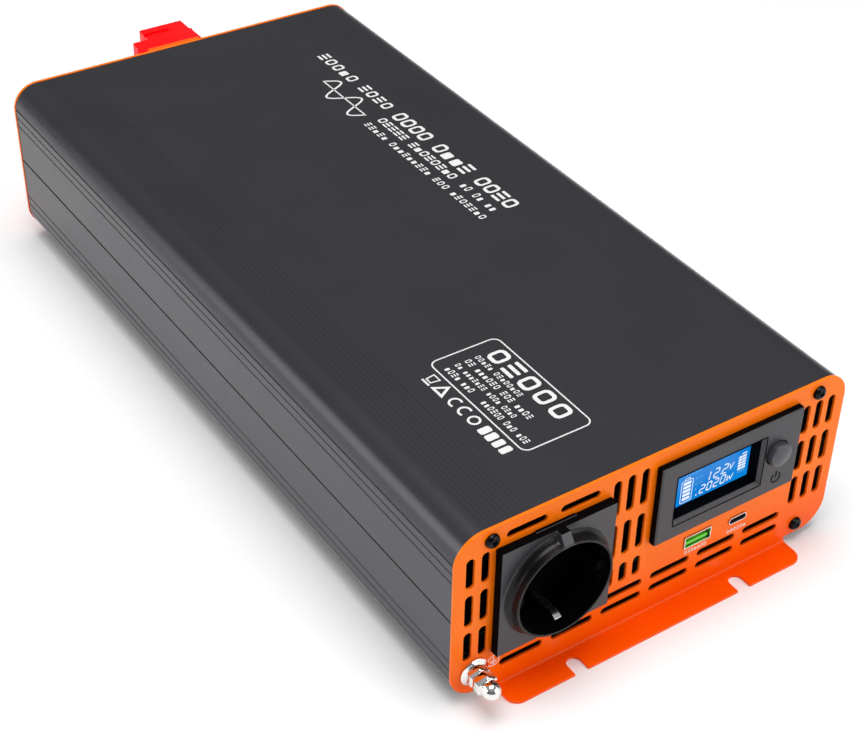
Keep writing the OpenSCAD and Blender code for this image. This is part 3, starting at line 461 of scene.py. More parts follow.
def merged(name, node_names, seam_z=None, split=False):
    """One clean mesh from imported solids. Faces that only part them, at seam_z, go.

    With split, flat faces become triangles, so that a face round a hole can't fill it.
    """
    work = bmesh.new()
    for node in node_names:
        work.from_mesh(nodes[node].data)
    bmesh.ops.remove_doubles(work, verts=work.verts, dist=0.002 * MM)
    if seam_z is not None:
        inner = [
            f for f in work.faces if all(abs(v.co.z - seam_z * MM) < 1e-6 for v in f.verts)
        ]
        bmesh.ops.delete(work, geom=inner, context="FACES_ONLY")
        bmesh.ops.remove_doubles(work, verts=work.verts, dist=0.002 * MM)
    bmesh.ops.dissolve_limit(
        work, angle_limit=math.radians(0.6), verts=work.verts, edges=work.edges
    )
    loose = [e for e in work.edges if not e.link_faces]
    bmesh.ops.delete(work, geom=loose, context="EDGES")
    if split:
        flat = [f for f in work.faces if len(f.verts) > 4]
        bmesh.ops.triangulate(work, faces=flat, ngon_method="BEAUTY")
    for face in work.faces:
        face.smooth = True
    mesh = bpy.data.meshes.new(name)
    work.to_mesh(mesh)
    work.free()
    return mesh


def rounded(piece, radius_mm, segments=3, angle=30):
    """A live Bevel rounds every edge sharper than the angle.

    Weighted normals then take the large faces' own direction, so they shade flat.
    """
    bevel = piece.modifiers.new("edges", "BEVEL")
    bevel.width = radius_mm * MM
    bevel.segments = segments
    bevel.limit_method = "ANGLE"
    bevel.angle_limit = math.radians(angle)
    bevel.use_clamp_overlap = False
    bevel.miter_outer = "MITER_ARC"
    shading = piece.modifiers.new("shading", "WEIGHTED_NORMAL")
    shading.weight = 100
    return piece


def rounded_copy(
    name, node_names, radius_mm, segments=3, finish=None, seam_z=None, split=False
):
    mesh = merged(name, node_names, seam_z, split)
    mesh.materials.append(finish or nodes[node_names[0]].material_slots[0].material)
    piece = rounded(add_object(name, mesh), radius_mm, segments)
    return keep(piece, *node_names)


def paint_faces(piece, finish, chosen):
    """The chosen faces, by centre in mm and normal, take a second finish."""
    piece.data.materials.append(finish)
    index = len(piece.data.materials) - 1
    for face in piece.data.polygons:
        if chosen(face.center / MM, face.normal):
            face.material_index = index


# %% [markdown]
# ### Sheet, case and housings
# Each end plate is one bent sheet, so its two solids become one piece. Thick powder
# leaves a quarter of a millimetre of radius on a sheared edge. The outlet and the
# display surround are moulded, with a grained face; their sides and wells take a
# near-black finish with almost no gloss, which is painted shade.

# %% Sheets and housings
sheet_seam = SHEET + 1.2
for name, pair in (
    ("front_end_sheet", ("front_plate", "front_flange")),
    ("rear_end_sheet", ("rear_plate", "rear_flange")),
):
    rounded_copy(name, pair, 0.25, 3, seam_z=sheet_seam)

outlet = rounded_copy(
    "outlet_moulding", ("outlet_body",), 0.3, 3, outlet_finish, split=True
)
bezel = rounded_copy("display_surround", ("display_bezel",), 0.3, 3, bezel_finish)
bezel_low, bezel_high = box_mm("display_bezel")
outlet_low, outlet_high = box_mm("outlet_body")
outlet_x, _, outlet_z = middle_mm("outlet_contacts")
BEZEL_FACE = bezel_low[1]
# painted shade: the surround's sides and the walls of its window take the near-black finish
paint_faces(
    bezel, painted_shade_black_finish, lambda c, n: n.y > -0.6 or c.y > BEZEL_FACE + 1.55
)
LUG_HALF = 2.6
OUTLET_FACE = FRONT - 3.8


def from_socket(c):
    """How far a face is from the socket's axis; the square face counts as outside."""
    if abs(c.y - OUTLET_FACE) < 0.2:
        return 30
    return math.hypot(c.x - outlet_x, c.z - outlet_z)


# painted shade: the collar round the socket takes a darker black than the face
paint_faces(
    outlet,
    collar_painted_shade_finish,
    lambda c, n: 19.7 < from_socket(c) < 24.4
    and not (abs(c.x - outlet_x) < LUG_HALF and c.z > outlet_z),
)
# painted shade: the outlet's outer sides, its top and the inside of its well take the near-black finish
paint_faces(
    outlet,
    painted_shade_black_finish,
    lambda c, n: abs(n.x) > 0.9
    and abs(c.x - outlet_x) > 24
    or n.z > 0.9
    and c.z > outlet_z + 24
    or from_socket(c) < 19.9
    and c.y > outlet_low[1] + 0.2,
)
SYMBOL_X, SYMBOL_Z = bezel_high[0] - 10, 44.1
paint_faces(
    bezel,
    black_ink,
    lambda c, n: math.hypot(c.x - SYMBOL_X, c.z - SYMBOL_Z) < 4
    and BEZEL_FACE + 0.02 < c.y < BEZEL_FACE + 1.0,
)
print("sheets and housings rounded")

# %% [markdown]
# ### Turned shapes
# A button, a screw head and a dome nut are all turned: a profile goes round an axis.
# A lathe helper takes the profile as radius and distance out from a face, and spins
# it in rings. One turned solid may have flats, so the radius can follow a hexagon.


# %% Lathe
def hexagon(flats_mm, corner=0.35):
    """Radius of a hexagon with softened corners, as a share of half its flats."""

    def radius(angle):
        local = (math.degrees(angle) + 30) % 60 - 30
        sharp = 1 / math.cos(math.radians(local))
        return sharp - corner * max(0.0, sharp - 1.10)

    return lambda angle: radius(angle) * flats_mm / 2


def lathe(name, profile, centre, face_y, outward=-1, turns=64, shape=None):
    """A closed solid: profile points are (radius, out) or (share, out, True) for flats."""
    x0, z0 = centre
    work = bmesh.new()
    rings = []
    for point in profile:
        radius, out = point[0], point[1]
        follows = len(point) > 2
        if radius < 1e-6:
            spot = Vector((x0, face_y + outward * out, z0)) * MM
            rings.append([work.verts.new(spot)])
            continue
        ring = []
        for i in range(turns):
            angle = 2 * math.pi * i / turns
            r = radius * shape(angle) if follows else radius
            spot = Vector(
                (x0 + r * math.cos(angle), face_y + outward * out, z0 + r * math.sin(angle))
            )
            ring.append(work.verts.new(spot * MM))
        rings.append(ring)
    for first, second in zip(rings, rings[1:]):
        for i in range(turns):
            j = (i + 1) % turns
            a = [first[i % len(first)], first[j % len(first)]]
            b = [second[j % len(second)], second[i % len(second)]]
            corners = list(dict.fromkeys(a + b))
            if len(corners) > 2:
                work.faces.new(corners)
    bmesh.ops.recalc_face_normals(work, faces=work.faces)
    mesh = bpy.data.meshes.new(name)
    for face in work.faces:
        face.smooth = True
    work.to_mesh(mesh)
    work.free()
    mesh.set_sharp_from_angle(angle=math.radians(34))
    return mesh


def arc(centre_r, centre_out, radius, start_deg, end_deg, steps=6):
    """Profile points on a small arc; 0 degrees points away from the axis."""
    return [
        (
            centre_r + radius * math.cos(math.radians(a)),
            centre_out + radius * math.sin(math.radians(a)),
        )
        for a in [start_deg + (end_deg - start_deg) * i / steps for i in range(steps + 1)]
    ]


# %% [markdown]
# ### Power button
# A shallow dome with a soft shoulder, a skirt behind the surround and a stem that
# reaches the switch. It was left plain on purpose: the sign is beside it.

# %% Power button
button_low, button_high = box_mm("power_button")
button_x, _, button_z = middle_mm("power_button")
BUTTON_OUT = FRONT - button_low[1]
BUTTON_R = 5.1
dome = [
    (r, BUTTON_OUT - (16 - math.sqrt(16 * 16 - r * r))) for r in (0, 1, 2, 3, 3.8, 4.4)
]
shoulder = arc(4.4, dome[-1][1] - 0.7, 0.7, 90, 0)
skirt_out = FRONT - button_high[1]
profile = dome + shoulder[1:] + [
    (BUTTON_R, 0.8), (6.3, 0.8), (6.3, -0.4), (2, -0.4), (2, skirt_out), (0, skirt_out)
]
mesh = lathe("power_button_cap", profile, (button_x, button_z), FRONT)
mesh.materials.append(button_finish)
keep(add_object("power_button_cap", mesh), "power_button")
print("button", len(mesh.polygons), "faces")

# %% [markdown]
# ### Earth stud nuts
# A flange nut clamps the stud and a dome nut closes it. Both are pressed, chamfered
# and plated bright, so they mirror the orange sheet on one side and the room on the
# other. The hexagon's corners are a little soft, as plating and wear leave them.

# %% Earth nuts
nut_x, _, nut_z = middle_mm("earth_cap_nut")
FLATS = 8.0
hexed = hexagon(FLATS)
flange_profile = [
    (2.55, 0), (5.6, 0), (5.9, 0.25), (5.9, 0.7), (5.6, 0.95), (4.75, 1.3),
    (1.0, 1.55, True), (1.0, 4.15, True), (0.965, 4.45, True), (3.75, 4.7), (2.55, 4.7),
    (2.55, 0),
]
mesh = lathe(
    "earth_flange_nut_plated", flange_profile, (nut_x, nut_z), FRONT, shape=hexed, turns=96
)
mesh.materials.append(chrome_finish)
keep(add_object("earth_flange_nut_plated", mesh), "earth_flange_nut")
seat = 4.7
dome_r = 3.62
cap_profile = [
    (0, seat + 7.2), (2.5, seat + 7.2), (2.6, seat), (3.6, seat), (0.965, seat + 0.25, True), (1.0, seat + 0.6, True),
    (1.0, seat + 3.9, True), (0.965, seat + 4.3, True), (3.7, seat + 4.55),
    (dome_r - 0.12, seat + 4.7), (dome_r, seat + 5.0), (dome_r, seat + 6.4),
] + arc(0, seat + 6.4, dome_r, 6, 90, 10)[:-1] + [(0, seat + 10.0)]
mesh = lathe(
    "earth_dome_nut_plated", cap_profile, (nut_x, nut_z), FRONT, shape=hexed, turns=96
)
mesh.materials.append(chrome_finish)
keep(add_object("earth_dome_nut_plated", mesh), "earth_cap_nut")
print("nuts at", round(nut_x, 2), round(nut_z, 2))

# %% [markdown]
# ## Geometry Nodes for what repeats
# Screws, printed blocks and fan blades are one shape many times. A small tree puts a
# shape on points: the points carry a size and a turn, the instances are realized and
# take one finish. The result is turned into a plain mesh and the modifier is gone.

# %% A tree that puts a shape on points
def shape_on_points():
    tree = bpy.data.node_groups.new("shape_on_points", "GeometryNodeTree")
    face = tree.interface
    face.new_socket("Geometry", in_out="INPUT", socket_type="NodeSocketGeometry")
    face.new_socket("Shape", in_out="INPUT", socket_type="NodeSocketObject")
    face.new_socket("Finish", in_out="INPUT", socket_type="NodeSocketMaterial")
    face.new_socket("Geometry", in_out="OUTPUT", socket_type="NodeSocketGeometry")
    given = tree.nodes.new("NodeGroupInput")
    shape = add(tree, "GeometryNodeObjectInfo", {"Object": given.outputs["Shape"]})
    size = add(tree, "GeometryNodeInputNamedAttribute", {"Name": "size"}, data_type="FLOAT_VECTOR")
    turn = add(tree, "GeometryNodeInputNamedAttribute", {"Name": "turn"}, data_type="FLOAT_VECTOR")
    rotation = add(tree, "FunctionNodeEulerToRotation", {"Euler": turn.outputs["Attribute"]})
    placed = add(
        tree,
        "GeometryNodeInstanceOnPoints",
        {
            "Points": given.outputs["Geometry"],
            "Instance": shape.outputs["Geometry"],
            "Rotation": rotation.outputs[0],
            "Scale": size.outputs["Attribute"],
        },
    )
    real = add(tree, "GeometryNodeRealizeInstances", {"Geometry": placed.outputs[0]})
    done = add(
        tree,
        "GeometryNodeSetMaterial",
        {"Geometry": real.outputs[0], "Material": given.outputs["Finish"]},
    )
    out = tree.nodes.new("NodeGroupOutput")
    tree.links.new(done.outputs[0], out.inputs["Geometry"])
    return tree


def socket_id(tree, name):
    return [
        i.identifier
        for i in tree.interface.items_tree
        if i.item_type == "SOCKET" and i.in_out == "INPUT" and i.name == name
    ][0]


def grown(name, source, tree, inputs):
    """The object that a tree grows from a mesh or curve, as one plain mesh."""
    holder = add_object(name, source)
    modifier = holder.modifiers.new("grow", "NODES")
    modifier.node_group = tree
    for label, value in inputs.items():
        modifier[socket_id(tree, label)] = value
    settled = bpy.context.evaluated_depsgraph_get()
    mesh = bpy.data.meshes.new_from_object(holder.evaluated_get(settled), depsgraph=settled)
    bpy.data.objects.remove(holder)
    mesh.name = name
    return add_object(name, mesh)


def points_mesh(name, rows):
    """Points in millimetres with a size and a turn in degrees."""
    mesh = bpy.data.meshes.new(name)
    mesh.from_pydata([Vector(r[0]) * MM for r in rows], [], [])
    size = mesh.attributes.new("size", "FLOAT_VECTOR", "POINT")
    turn = mesh.attributes.new("turn", "FLOAT_VECTOR", "POINT")
    for i, row in enumerate(rows):
        size.data[i].vector = row[1]
        turn.data[i].vector = [math.radians(a) for a in row[2]]
    return mesh


on_points = shape_on_points()


def repeat(name, shape, rows, finish):
    return grown(name, points_mesh(name, rows), on_points, {"Shape": shape, "Finish": finish})


# %% [markdown]
# ### Screws
# A pan head has a low dome, a crisp rim and a cross recess that tapers to its foot.
# The recess is cut once, in the master screw, and each screw is turned by its own
# angle, because nobody lines screws up.

# %% Master screw and its copies
def cross_cutter(width, reach, depth, face_y):
    work = bmesh.new()
    for long_way in (0, 1):
        made = bmesh.ops.create_cube(work, size=1)["verts"]
        for v in made:
            deep = v.co.y > 0
            w = width * (0.7 if deep else 1.15)
            r = reach * (0.35 if deep else 1.0)
            across = Vector((v.co.x * 2 * (r if long_way else w / 2), 0, v.co.z * 2 * (w / 2 if long_way else r)))
            v.co = Vector((across.x, face_y + (depth if deep else -1.0), across.z)) * MM
    bmesh.ops.recalc_face_normals(work, faces=work.faces)
    mesh = bpy.data.meshes.new("cross_cutter")
    work.to_mesh(mesh)
    work.free()
    return add_object("cross_cutter", mesh)


def pan_screw(name, head_r, head_h, shank_r, length):
    """A screw with its seat at the origin, its head towards -Y and its shank to +Y."""
    crown = [(0, head_h), (head_r * 0.35, head_h * 0.985), (head_r * 0.62, head_h * 0.9),
             (head_r * 0.82, head_h * 0.74), (head_r * 0.94, head_h * 0.52)]
    profile = crown + [(head_r, head_h * 0.3), (head_r, 0.08), (head_r - 0.08, 0),
                       (shank_r, 0), (shank_r, -length + 0.4), (shank_r - 0.35, -length), (0, -length)]
    screw = add_object(name, lathe(name, profile, (0, 0), 0, turns=32))
    work = cross_cutter(head_r * 0.3, head_r * 0.62, head_h * 0.62, -head_h)
    cut = screw.modifiers.new("recess", "BOOLEAN")
    cut.object = work
    cut.solver = "EXACT"
    cut.use_self = True
    settled = bpy.context.evaluated_depsgraph_get()
    mesh = bpy.data.meshes.new_from_object(screw.evaluated_get(settled), depsgraph=settled)
    mesh.set_sharp_from_angle(angle=math.radians(34))
    bpy.data.objects.remove(work)
    bpy.data.objects.remove(screw)
    master = add_object(name, mesh)
    return master


def screw_places(node, face_y):
    """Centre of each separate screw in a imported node, in millimetres."""
    work = bmesh.new()
    work.from_mesh(nodes[node].data)
    bmesh.ops.remove_doubles(work, verts=work.verts, dist=0.002 * MM)
    left, places = set(work.verts), []
    while left:
        stack, group = [left.pop()], []
        while stack:
            v = stack.pop()
            group.append(v.co / MM)
            for e in v.link_edges:
                o = e.other_vert(v)
                if o in left:
                    left.discard(o)
                    stack.append(o)
        xs, zs = [c.x for c in group], [c.z for c in group]
        places.append(((min(xs) + max(xs)) / 2, face_y, (min(zs) + max(zs)) / 2))
    work.free()
    return places


screw_master = pan_screw("corner_screw", 2.9, 2.2, 1.25, 10)
fan_screw_master = pan_screw("fan_screw", 3.4, 2.0, 1.8, 9)
turns_of = random.Random(7)
for node, face_y, master, finish in (
    ("front_screws", FRONT, screw_master, screw_finish),
    ("rear_screws", REAR, screw_master, screw_finish),
    ("fan_screws", REAR, fan_screw_master, zinc_finish),
):
    flip = 0 if face_y < 0 else 180
    rows = [
        (p, (1, 1, 1), (0, turns_of.uniform(0, 90), flip)) for p in screw_places(node, face_y)
    ]
    keep(repeat(node + "_turned", master, rows, finish), node)
    print(node, len(rows))
for master in (screw_master, fan_screw_master):
    bpy.data.objects.remove(master)

# %% [markdown]
# ## The case: two extrusions
# Aluminium is pushed through a die, so each half has one section for its whole
# length: walls, grooves, board rails, a lip that locks the halves, and open channels
# that the end screws bite into. The rule is the section, so a tree fills the outline
# and draws it out. Cutting each groove by hand would say less and take longer.

# %% Tree that draws a section out
def draw_out_tree():
    tree = bpy.data.node_groups.new("draw_out_section", "GeometryNodeTree")
    face = tree.interface
    face.new_socket("Geometry", in_out="INPUT", socket_type="NodeSocketGeometry")
    face.new_socket("Length", in_out="INPUT", socket_type="NodeSocketFloat")
    face.new_socket("Finish", in_out="INPUT", socket_type="NodeSocketMaterial")
    face.new_socket("Geometry", in_out="OUTPUT", socket_type="NodeSocketGeometry")
    given = tree.nodes.new("NodeGroupInput")
    filled = add(
        tree, "GeometryNodeFillCurve", {"Curve": given.outputs["Geometry"]}, mode="NGONS"
    ).outputs[0]
    way = add(tree, "ShaderNodeCombineXYZ", {"Z": given.outputs["Length"]}).outputs[0]
    drawn = add(
        tree,
        "GeometryNodeExtrudeMesh",
        {"Mesh": filled, "Offset": way, "Offset Scale": 1.0, "Individual": False},
    ).outputs[0]
    back = add(tree, "GeometryNodeFlipFaces", {"Mesh": filled}).outputs[0]
    both = add(tree, "GeometryNodeJoinGeometry")
    tree.links.new(drawn, both.inputs[0])
    tree.links.new(back, both.inputs[0])
    sealed = add(
        tree, "GeometryNodeMergeByDistance", {"Geometry": both.outputs[0], "Distance": 1e-6}
    ).outputs[0]
    real = add(tree, "GeometryNodeRealizeInstances", {"Geometry": sealed}).outputs[0]
    done = add(
        tree,
        "GeometryNodeSetMaterial",
        {"Geometry": real, "Material": given.outputs["Finish"]},
    ).outputs[0]
    tree.links.new(done, tree.nodes.new("NodeGroupOutput").inputs["Geometry"])
    return tree


draw_out = draw_out_tree()


def section_curve(name, outline):
    """A closed outline of (x, z) in millimetres, drawn flat on X and Y."""
    data = bpy.data.curves.new(name, "CURVE")
    data.dimensions = "2D"
    data.fill_mode = "NONE"
    spline = data.splines.new("POLY")
    spline.points.add(len(outline) - 1)
    for point, (x, z) in zip(spline.points, outline):
        point.co = (x * MM, z * MM, 0, 1)
    spline.use_cyclic_u = True
    return data


def tidy_solid(mesh, sharp_deg=24):
    """Faces point outwards, and only real corners stay sharp."""
    work = bmesh.new()
    work.from_mesh(mesh)
    bmesh.ops.recalc_face_normals(work, faces=work.faces)
    for face in work.faces:
        face.smooth = True
    work.to_mesh(mesh)
    work.free()
    mesh.set_sharp_from_angle(angle=math.radians(sharp_deg))


def stand_up(piece, y_far):
    """Turns what was drawn on X and Y and up Z to X and Z, and back from y_far."""
    piece.data.transform(
        Matrix.Translation((0, y_far * MM, 0)) @ Matrix.Rotation(math.pi / 2, 4, "X")
    )
    tidy_solid(piece.data)
    return piece


# %% [markdown]
# The outline is written for one half, from the middle of the outside round to the
# middle of the inside, and mirrored. Grooves are shallow and V shaped, which from
# above reads as a hairline.

# %% Sections of the two halves
case_low, case_high = box_mm("case_top")
HALF = case_high[0]
WALL = 2.2
CORNER = 11.7
SEAM_Z = case_low[2]
LIP_Z = box_mm("case_bottom")[1][2]
MIDDLE_Z = SEAM_Z - 0.8
SIDE_GROOVES = (23.2, 19.0)
CORNER_GROOVE = 27.2
BAND_OUTER, BAND_PITCH, BAND_LINES = 76.4, 1.96, 10
CHANNEL_X, CHANNEL_Z = 75.0, 33.1
RAIL_REACH = 2.4


def round_corner(cx, cz, r, first, last, steps):
    angles = [math.radians(first + (last - first) * i / steps) for i in range(steps + 1)]
    return [(cx + r * math.cos(a), cz + r * math.sin(a)) for a in angles]


def screw_channel_path(z_wall):
    """An open C that hangs from the wall, walked from its outer to its inner side."""
    centre = (CHANNEL_X, CHANNEL_Z)
    around = round_corner(*centre, 2.6, 60, -75, 9)
    bore = round_corner(*centre, 1.35, -64, 244, 14)
    other = [(2 * CHANNEL_X - x, z) for x, z in reversed(around)]
    web = 1.3
    return [(CHANNEL_X + web, z_wall)] + around + bore + other + [(CHANNEL_X - web, z_wall)]


def outer_half(top, lines, width, depth):
    """Middle of the top to the last side groove, measured up from the middle height."""
    path = [(0, top)]
    for i in reversed(range(lines)):
        x = BAND_OUTER - i * BAND_PITCH
        path += [(x - width / 2, top), (x, top - depth), (x + width / 2, top)]
    cx, cz = HALF - CORNER, top - CORNER
    path += round_corner(cx, cz, CORNER, 90, 7, 14)
    at = math.degrees(math.asin((CORNER_GROOVE - cz) / CORNER))
    path += round_corner(cx, cz, CORNER - 0.4, at, at, 1)[:1]
    path += round_corner(cx, cz, CORNER, at - 1.8, 0, 1)
    for z in SIDE_GROOVES:
        path += [(HALF, z + 0.35), (HALF - 0.45, z), (HALF, z - 0.35)]
    return path


def inner_half(top, upper):
    inside = HALF - WALL
    cx, cz, r = HALF - CORNER, top - CORNER, CORNER - WALL
    if upper:
        path = [(inside, SEAM_Z - MIDDLE_Z), *round_corner(cx, cz, r, 0, 90, 9)]
        return path + screw_channel_path(top - WALL) + [(0, top - WALL)]
    lip_out, lip_t = inside - 0.3, 1.6
    lip = LIP_Z - MIDDLE_Z
    reach = inside - RAIL_REACH
    path = [(lip_out, 0), (lip_out, -lip), (lip_out - lip_t, -lip), (lip_out - lip_t, lip)]
    path += [(inside, lip)]
    for low, high in ((24.1, 25.9), (27.8, 29.6)):
        def wall_x(z):
            return inside if z < cz else cx + math.sqrt(r * r - (z - cz) ** 2)

        if high > cz > low - 2:
            path += [(inside, cz)] if low > cz else []
        path += [(wall_x(low), low), (reach, low), (reach, high), (wall_x(high), high)]
    last = math.degrees(math.asin((29.6 - cz) / r))
    path += round_corner(cx, cz, r, last + 3, 90, 8)
    return path + screw_channel_path(top - WALL) + [(0, top - WALL)]


def closed_outline(half):
    full = half + [(-x, z) for x, z in reversed(half)]
    return [p for p, q in zip(full, full[1:] + full[:1]) if math.dist(p, q) > 1e-4]


def case_piece(name, node, upper):
    """One half; the lower one is the same kind of outline turned over."""
    top = CASE_TOP - MIDDLE_Z
    band = (BAND_LINES, 0.46, 0.17) if upper else (0, 0, 0)
    start_z = SEAM_Z - MIDDLE_Z if upper else 0
    half = outer_half(top, *band) + [(HALF, start_z + 0.15), (HALF - 0.15, start_z)]
    half += inner_half(top, upper)
    way = 1 if upper else -1
    outline = [(x, MIDDLE_Z + way * z) for x, z in closed_outline(half)]
    low, high = box_mm(node)
    piece = grown(
        name,
        section_curve(name, outline),
        draw_out,
        {"Length": (high[1] - low[1]) * MM, "Finish": case_finish},
    )
    stand_up(piece, high[1])
    keep(piece, node)
    print(name, len(outline), "corners,", len(piece.data.polygons), "faces")
    return piece


case_piece("case_top_extrusion", "case_top", True)
case_piece("case_bottom_extrusion", "case_bottom", False)

# %% [markdown]
# ## Print
# The top is screen printed in white. Words and marks of a maker are not repeated:
# each letter becomes a plain block, bar pair or ring of the same size, so the layout
# and the weight of the print stay. The wave and the rating frame are drawn, because
# they belong to every machine of this kind. Ink stands 0.03 mm proud of the metal.

# %% Flat outlines with a thickness
def flat_solid(name, plane, finish, loops=(), bands=(), thick=0.03):
    """Thin solids on a plane (origin, right, up in mm), from loops and line paths."""
    origin, right, up = (Vector(v) for v in plane)
    out = right.cross(up)
    work = bmesh.new()

    def spot(p, level):
        return work.verts.new((origin + right * p[0] + up * p[1] + out * level) * MM)

    def prism(quad_or_loop):
        low = [spot(p, 0) for p in quad_or_loop]
        high = [spot(p, thick) for p in quad_or_loop]
        work.faces.new(high)
        work.faces.new(list(reversed(low)))
        for i in range(len(low)):
            j = (i + 1) % len(low)
            work.faces.new([low[i], low[j], high[j], high[i]])

    for loop in loops:
        prism(loop)
    for path, width, closed in bands:
        points = [Vector(p) for p in path]
        count = len(points)
        left, right_side = [], []
        for i, p in enumerate(points):
            before = points[i - 1] if closed or i else None
            after = points[(i + 1) % count] if closed or i < count - 1 else None
            one = (p - before).normalized() if before is not None else None
            two = (after - p).normalized() if after is not None else None
            along = ((one or two) + (two or one)).normalized()
            side = Vector((-along.y, along.x))
            lean = max(0.5, along.dot(one or two))
            left.append(p + side * (width / 2 / lean))
            right_side.append(p - side * (width / 2 / lean))
        rings = [
            [spot(l, 0), spot(l, thick), spot(r, thick), spot(r, 0)]
            for l, r in zip(left, right_side)
        ]
        for i in range(count if closed else count - 1):
            a, b = rings[i], rings[(i + 1) % count]
            for k in range(4):
                m = (k + 1) % 4
                work.faces.new([a[k], a[m], b[m], b[k]])
        if not closed:
            work.faces.new(rings[0])
            work.faces.new(list(reversed(rings[-1])))
    bmesh.ops.recalc_face_normals(work, faces=work.faces)
    mesh = bpy.data.meshes.new(name)
    work.to_mesh(mesh)
    work.free()
    mesh.materials.append(finish)
    return add_object(name, mesh)


def rounded_box(u0, v0, u1, v1, r, steps=4):
    path = []
    for cu, cv, first in ((u1 - r, v1 - r, 0), (u0 + r, v1 - r, 90), (u0 + r, v0 + r, 180), (u1 - r, v0 + r, 270)):
        path += round_corner(cu, cv, r, first, first + 90, steps)
    return path


def circle_path(u, v, r, steps=28):
    return round_corner(u, v, r, 0, 360 * (steps - 1) / steps, steps - 1)


# %% [markdown]
# Lettering goes on by Geometry Nodes: three tiny stamps, and points that say where,
# how tall and how wide. The choice of stamp comes from a fixed seed.

# %% Stamps and lettering
unit_plane = (Vector((0, 0, 0)), Vector((1, 0, 0)), Vector((0, 1, 0)))
STAMP_T = 0.03


def stamp_set():
    """Three stamps one unit wide and high, with their right along X and up along Y."""
    bars = [rounded_box(-0.5, v, 0.5, v + 0.2, 0.06, 2) for v in (-0.5, -0.1, 0.3)]
    ring = (rounded_box(-0.39, -0.4, 0.39, 0.4, 0.22, 3), 0.21, True)
    low_block = rounded_box(-0.42, -0.5, 0.42, 0.22, 0.14, 3)
    return [
        flat_solid("low_stamp", unit_plane, white_ink, [low_block], [], STAMP_T),
        flat_solid("ring_stamp", unit_plane, white_ink, (), [ring], STAMP_T),
        flat_solid("bars_stamp", unit_plane, white_ink, bars, [], STAMP_T),
    ]


def letters(y_from, y_to, x_low, x_high, words, fill=0.78):
    """Letter places along -Y with their heights along X, all in millimetres."""
    slots = sum(words) + 0.8 * (len(words) - 1)
    pitch = (y_from - y_to) / slots
    spots, at = [], 0.0
    for word in words:
        for _ in range(word):
            spots.append(
                ((x_low + x_high) / 2, y_from - (at + 0.5) * pitch, x_high - x_low, pitch * fill)
            )
            at += 1
        at += 0.8
    return spots


def lettered(name, spots, level, weights, seed, flat="top"):
    """Pieces of stamped letters; each spot is (across, along, height, width)."""
    draw = random.Random(seed)
    rows = ([], [], [])
    for first, second, height, width in spots:
        pick = draw.choices((0, 1, 2), weights)[0]
        if flat == "top":
            at = (first, MIDDLE_Y + second, level)
            rows[pick].append((at, (width, height, 1), (0, 0, -90)))
        else:
            rows[pick].append(((first, level, second), (width, height, 1), (90, 0, 0)))
    for stamp, some, label in zip(stamps, rows, ("blocks", "rings", "bars")):
        if some:
            keep(repeat(f"{name}_{label}", stamp, some, white_ink), body=root_body)
    print(name, [len(r) for r in rows])


root_body = body_of_node["case_top"]
stamps = stamp_set()
title = letters(70.7, -22.5, 44.6, 51.9, (4, 4, 4), 0.8)
second_line = letters(70.7, 10.0, 37.4, 41.9, (5, 8), 0.78)
thin_line = letters(4.8, -20.7, 37.6, 41.7, (2, 2, 2), 0.6)
third_line = letters(70.7, -23.4, 30.4, 33.9, (5, 9, 3, 7), 0.66)
heading = letters(138.0, 76.0, 45.6, 51.4, (5, 4), 0.72)
lettered("title_print", title + heading, CASE_TOP, (2, 5, 3), 3)
lettered("subtitle_print", second_line + thin_line + third_line, CASE_TOP, (3, 4, 3), 5)
rating = letters(-100.2, -148.4, -22.2, -13.9, (5,), 0.74)
lines = letters(-100.0, -129.0, -26.2, -23.7, (5, 8), 0.66)
lines += letters(-100.0, -141.5, -30.9, -28.0, (2, 6, 3, 4), 0.66)
lines += letters(-100.0, -137.8, -35.3, -32.8, (2, 7, 4, 4), 0.66)
lines += letters(-100.0, -117.5, -40.0, -37.1, (4, 3), 0.66)
lines += letters(-123.7, -152.0, -40.0, -37.1, (6, 3, 3), 0.66)
lettered("rating_print", rating, CASE_TOP, (0, 4, 1), 8)
lettered("rating_lines_print", lines, CASE_TOP, (3, 4, 3), 9)

# %% [markdown]
# The wave, the frame round the rating and a row of small plain marks are drawn lines
# of constant width on the same plane.

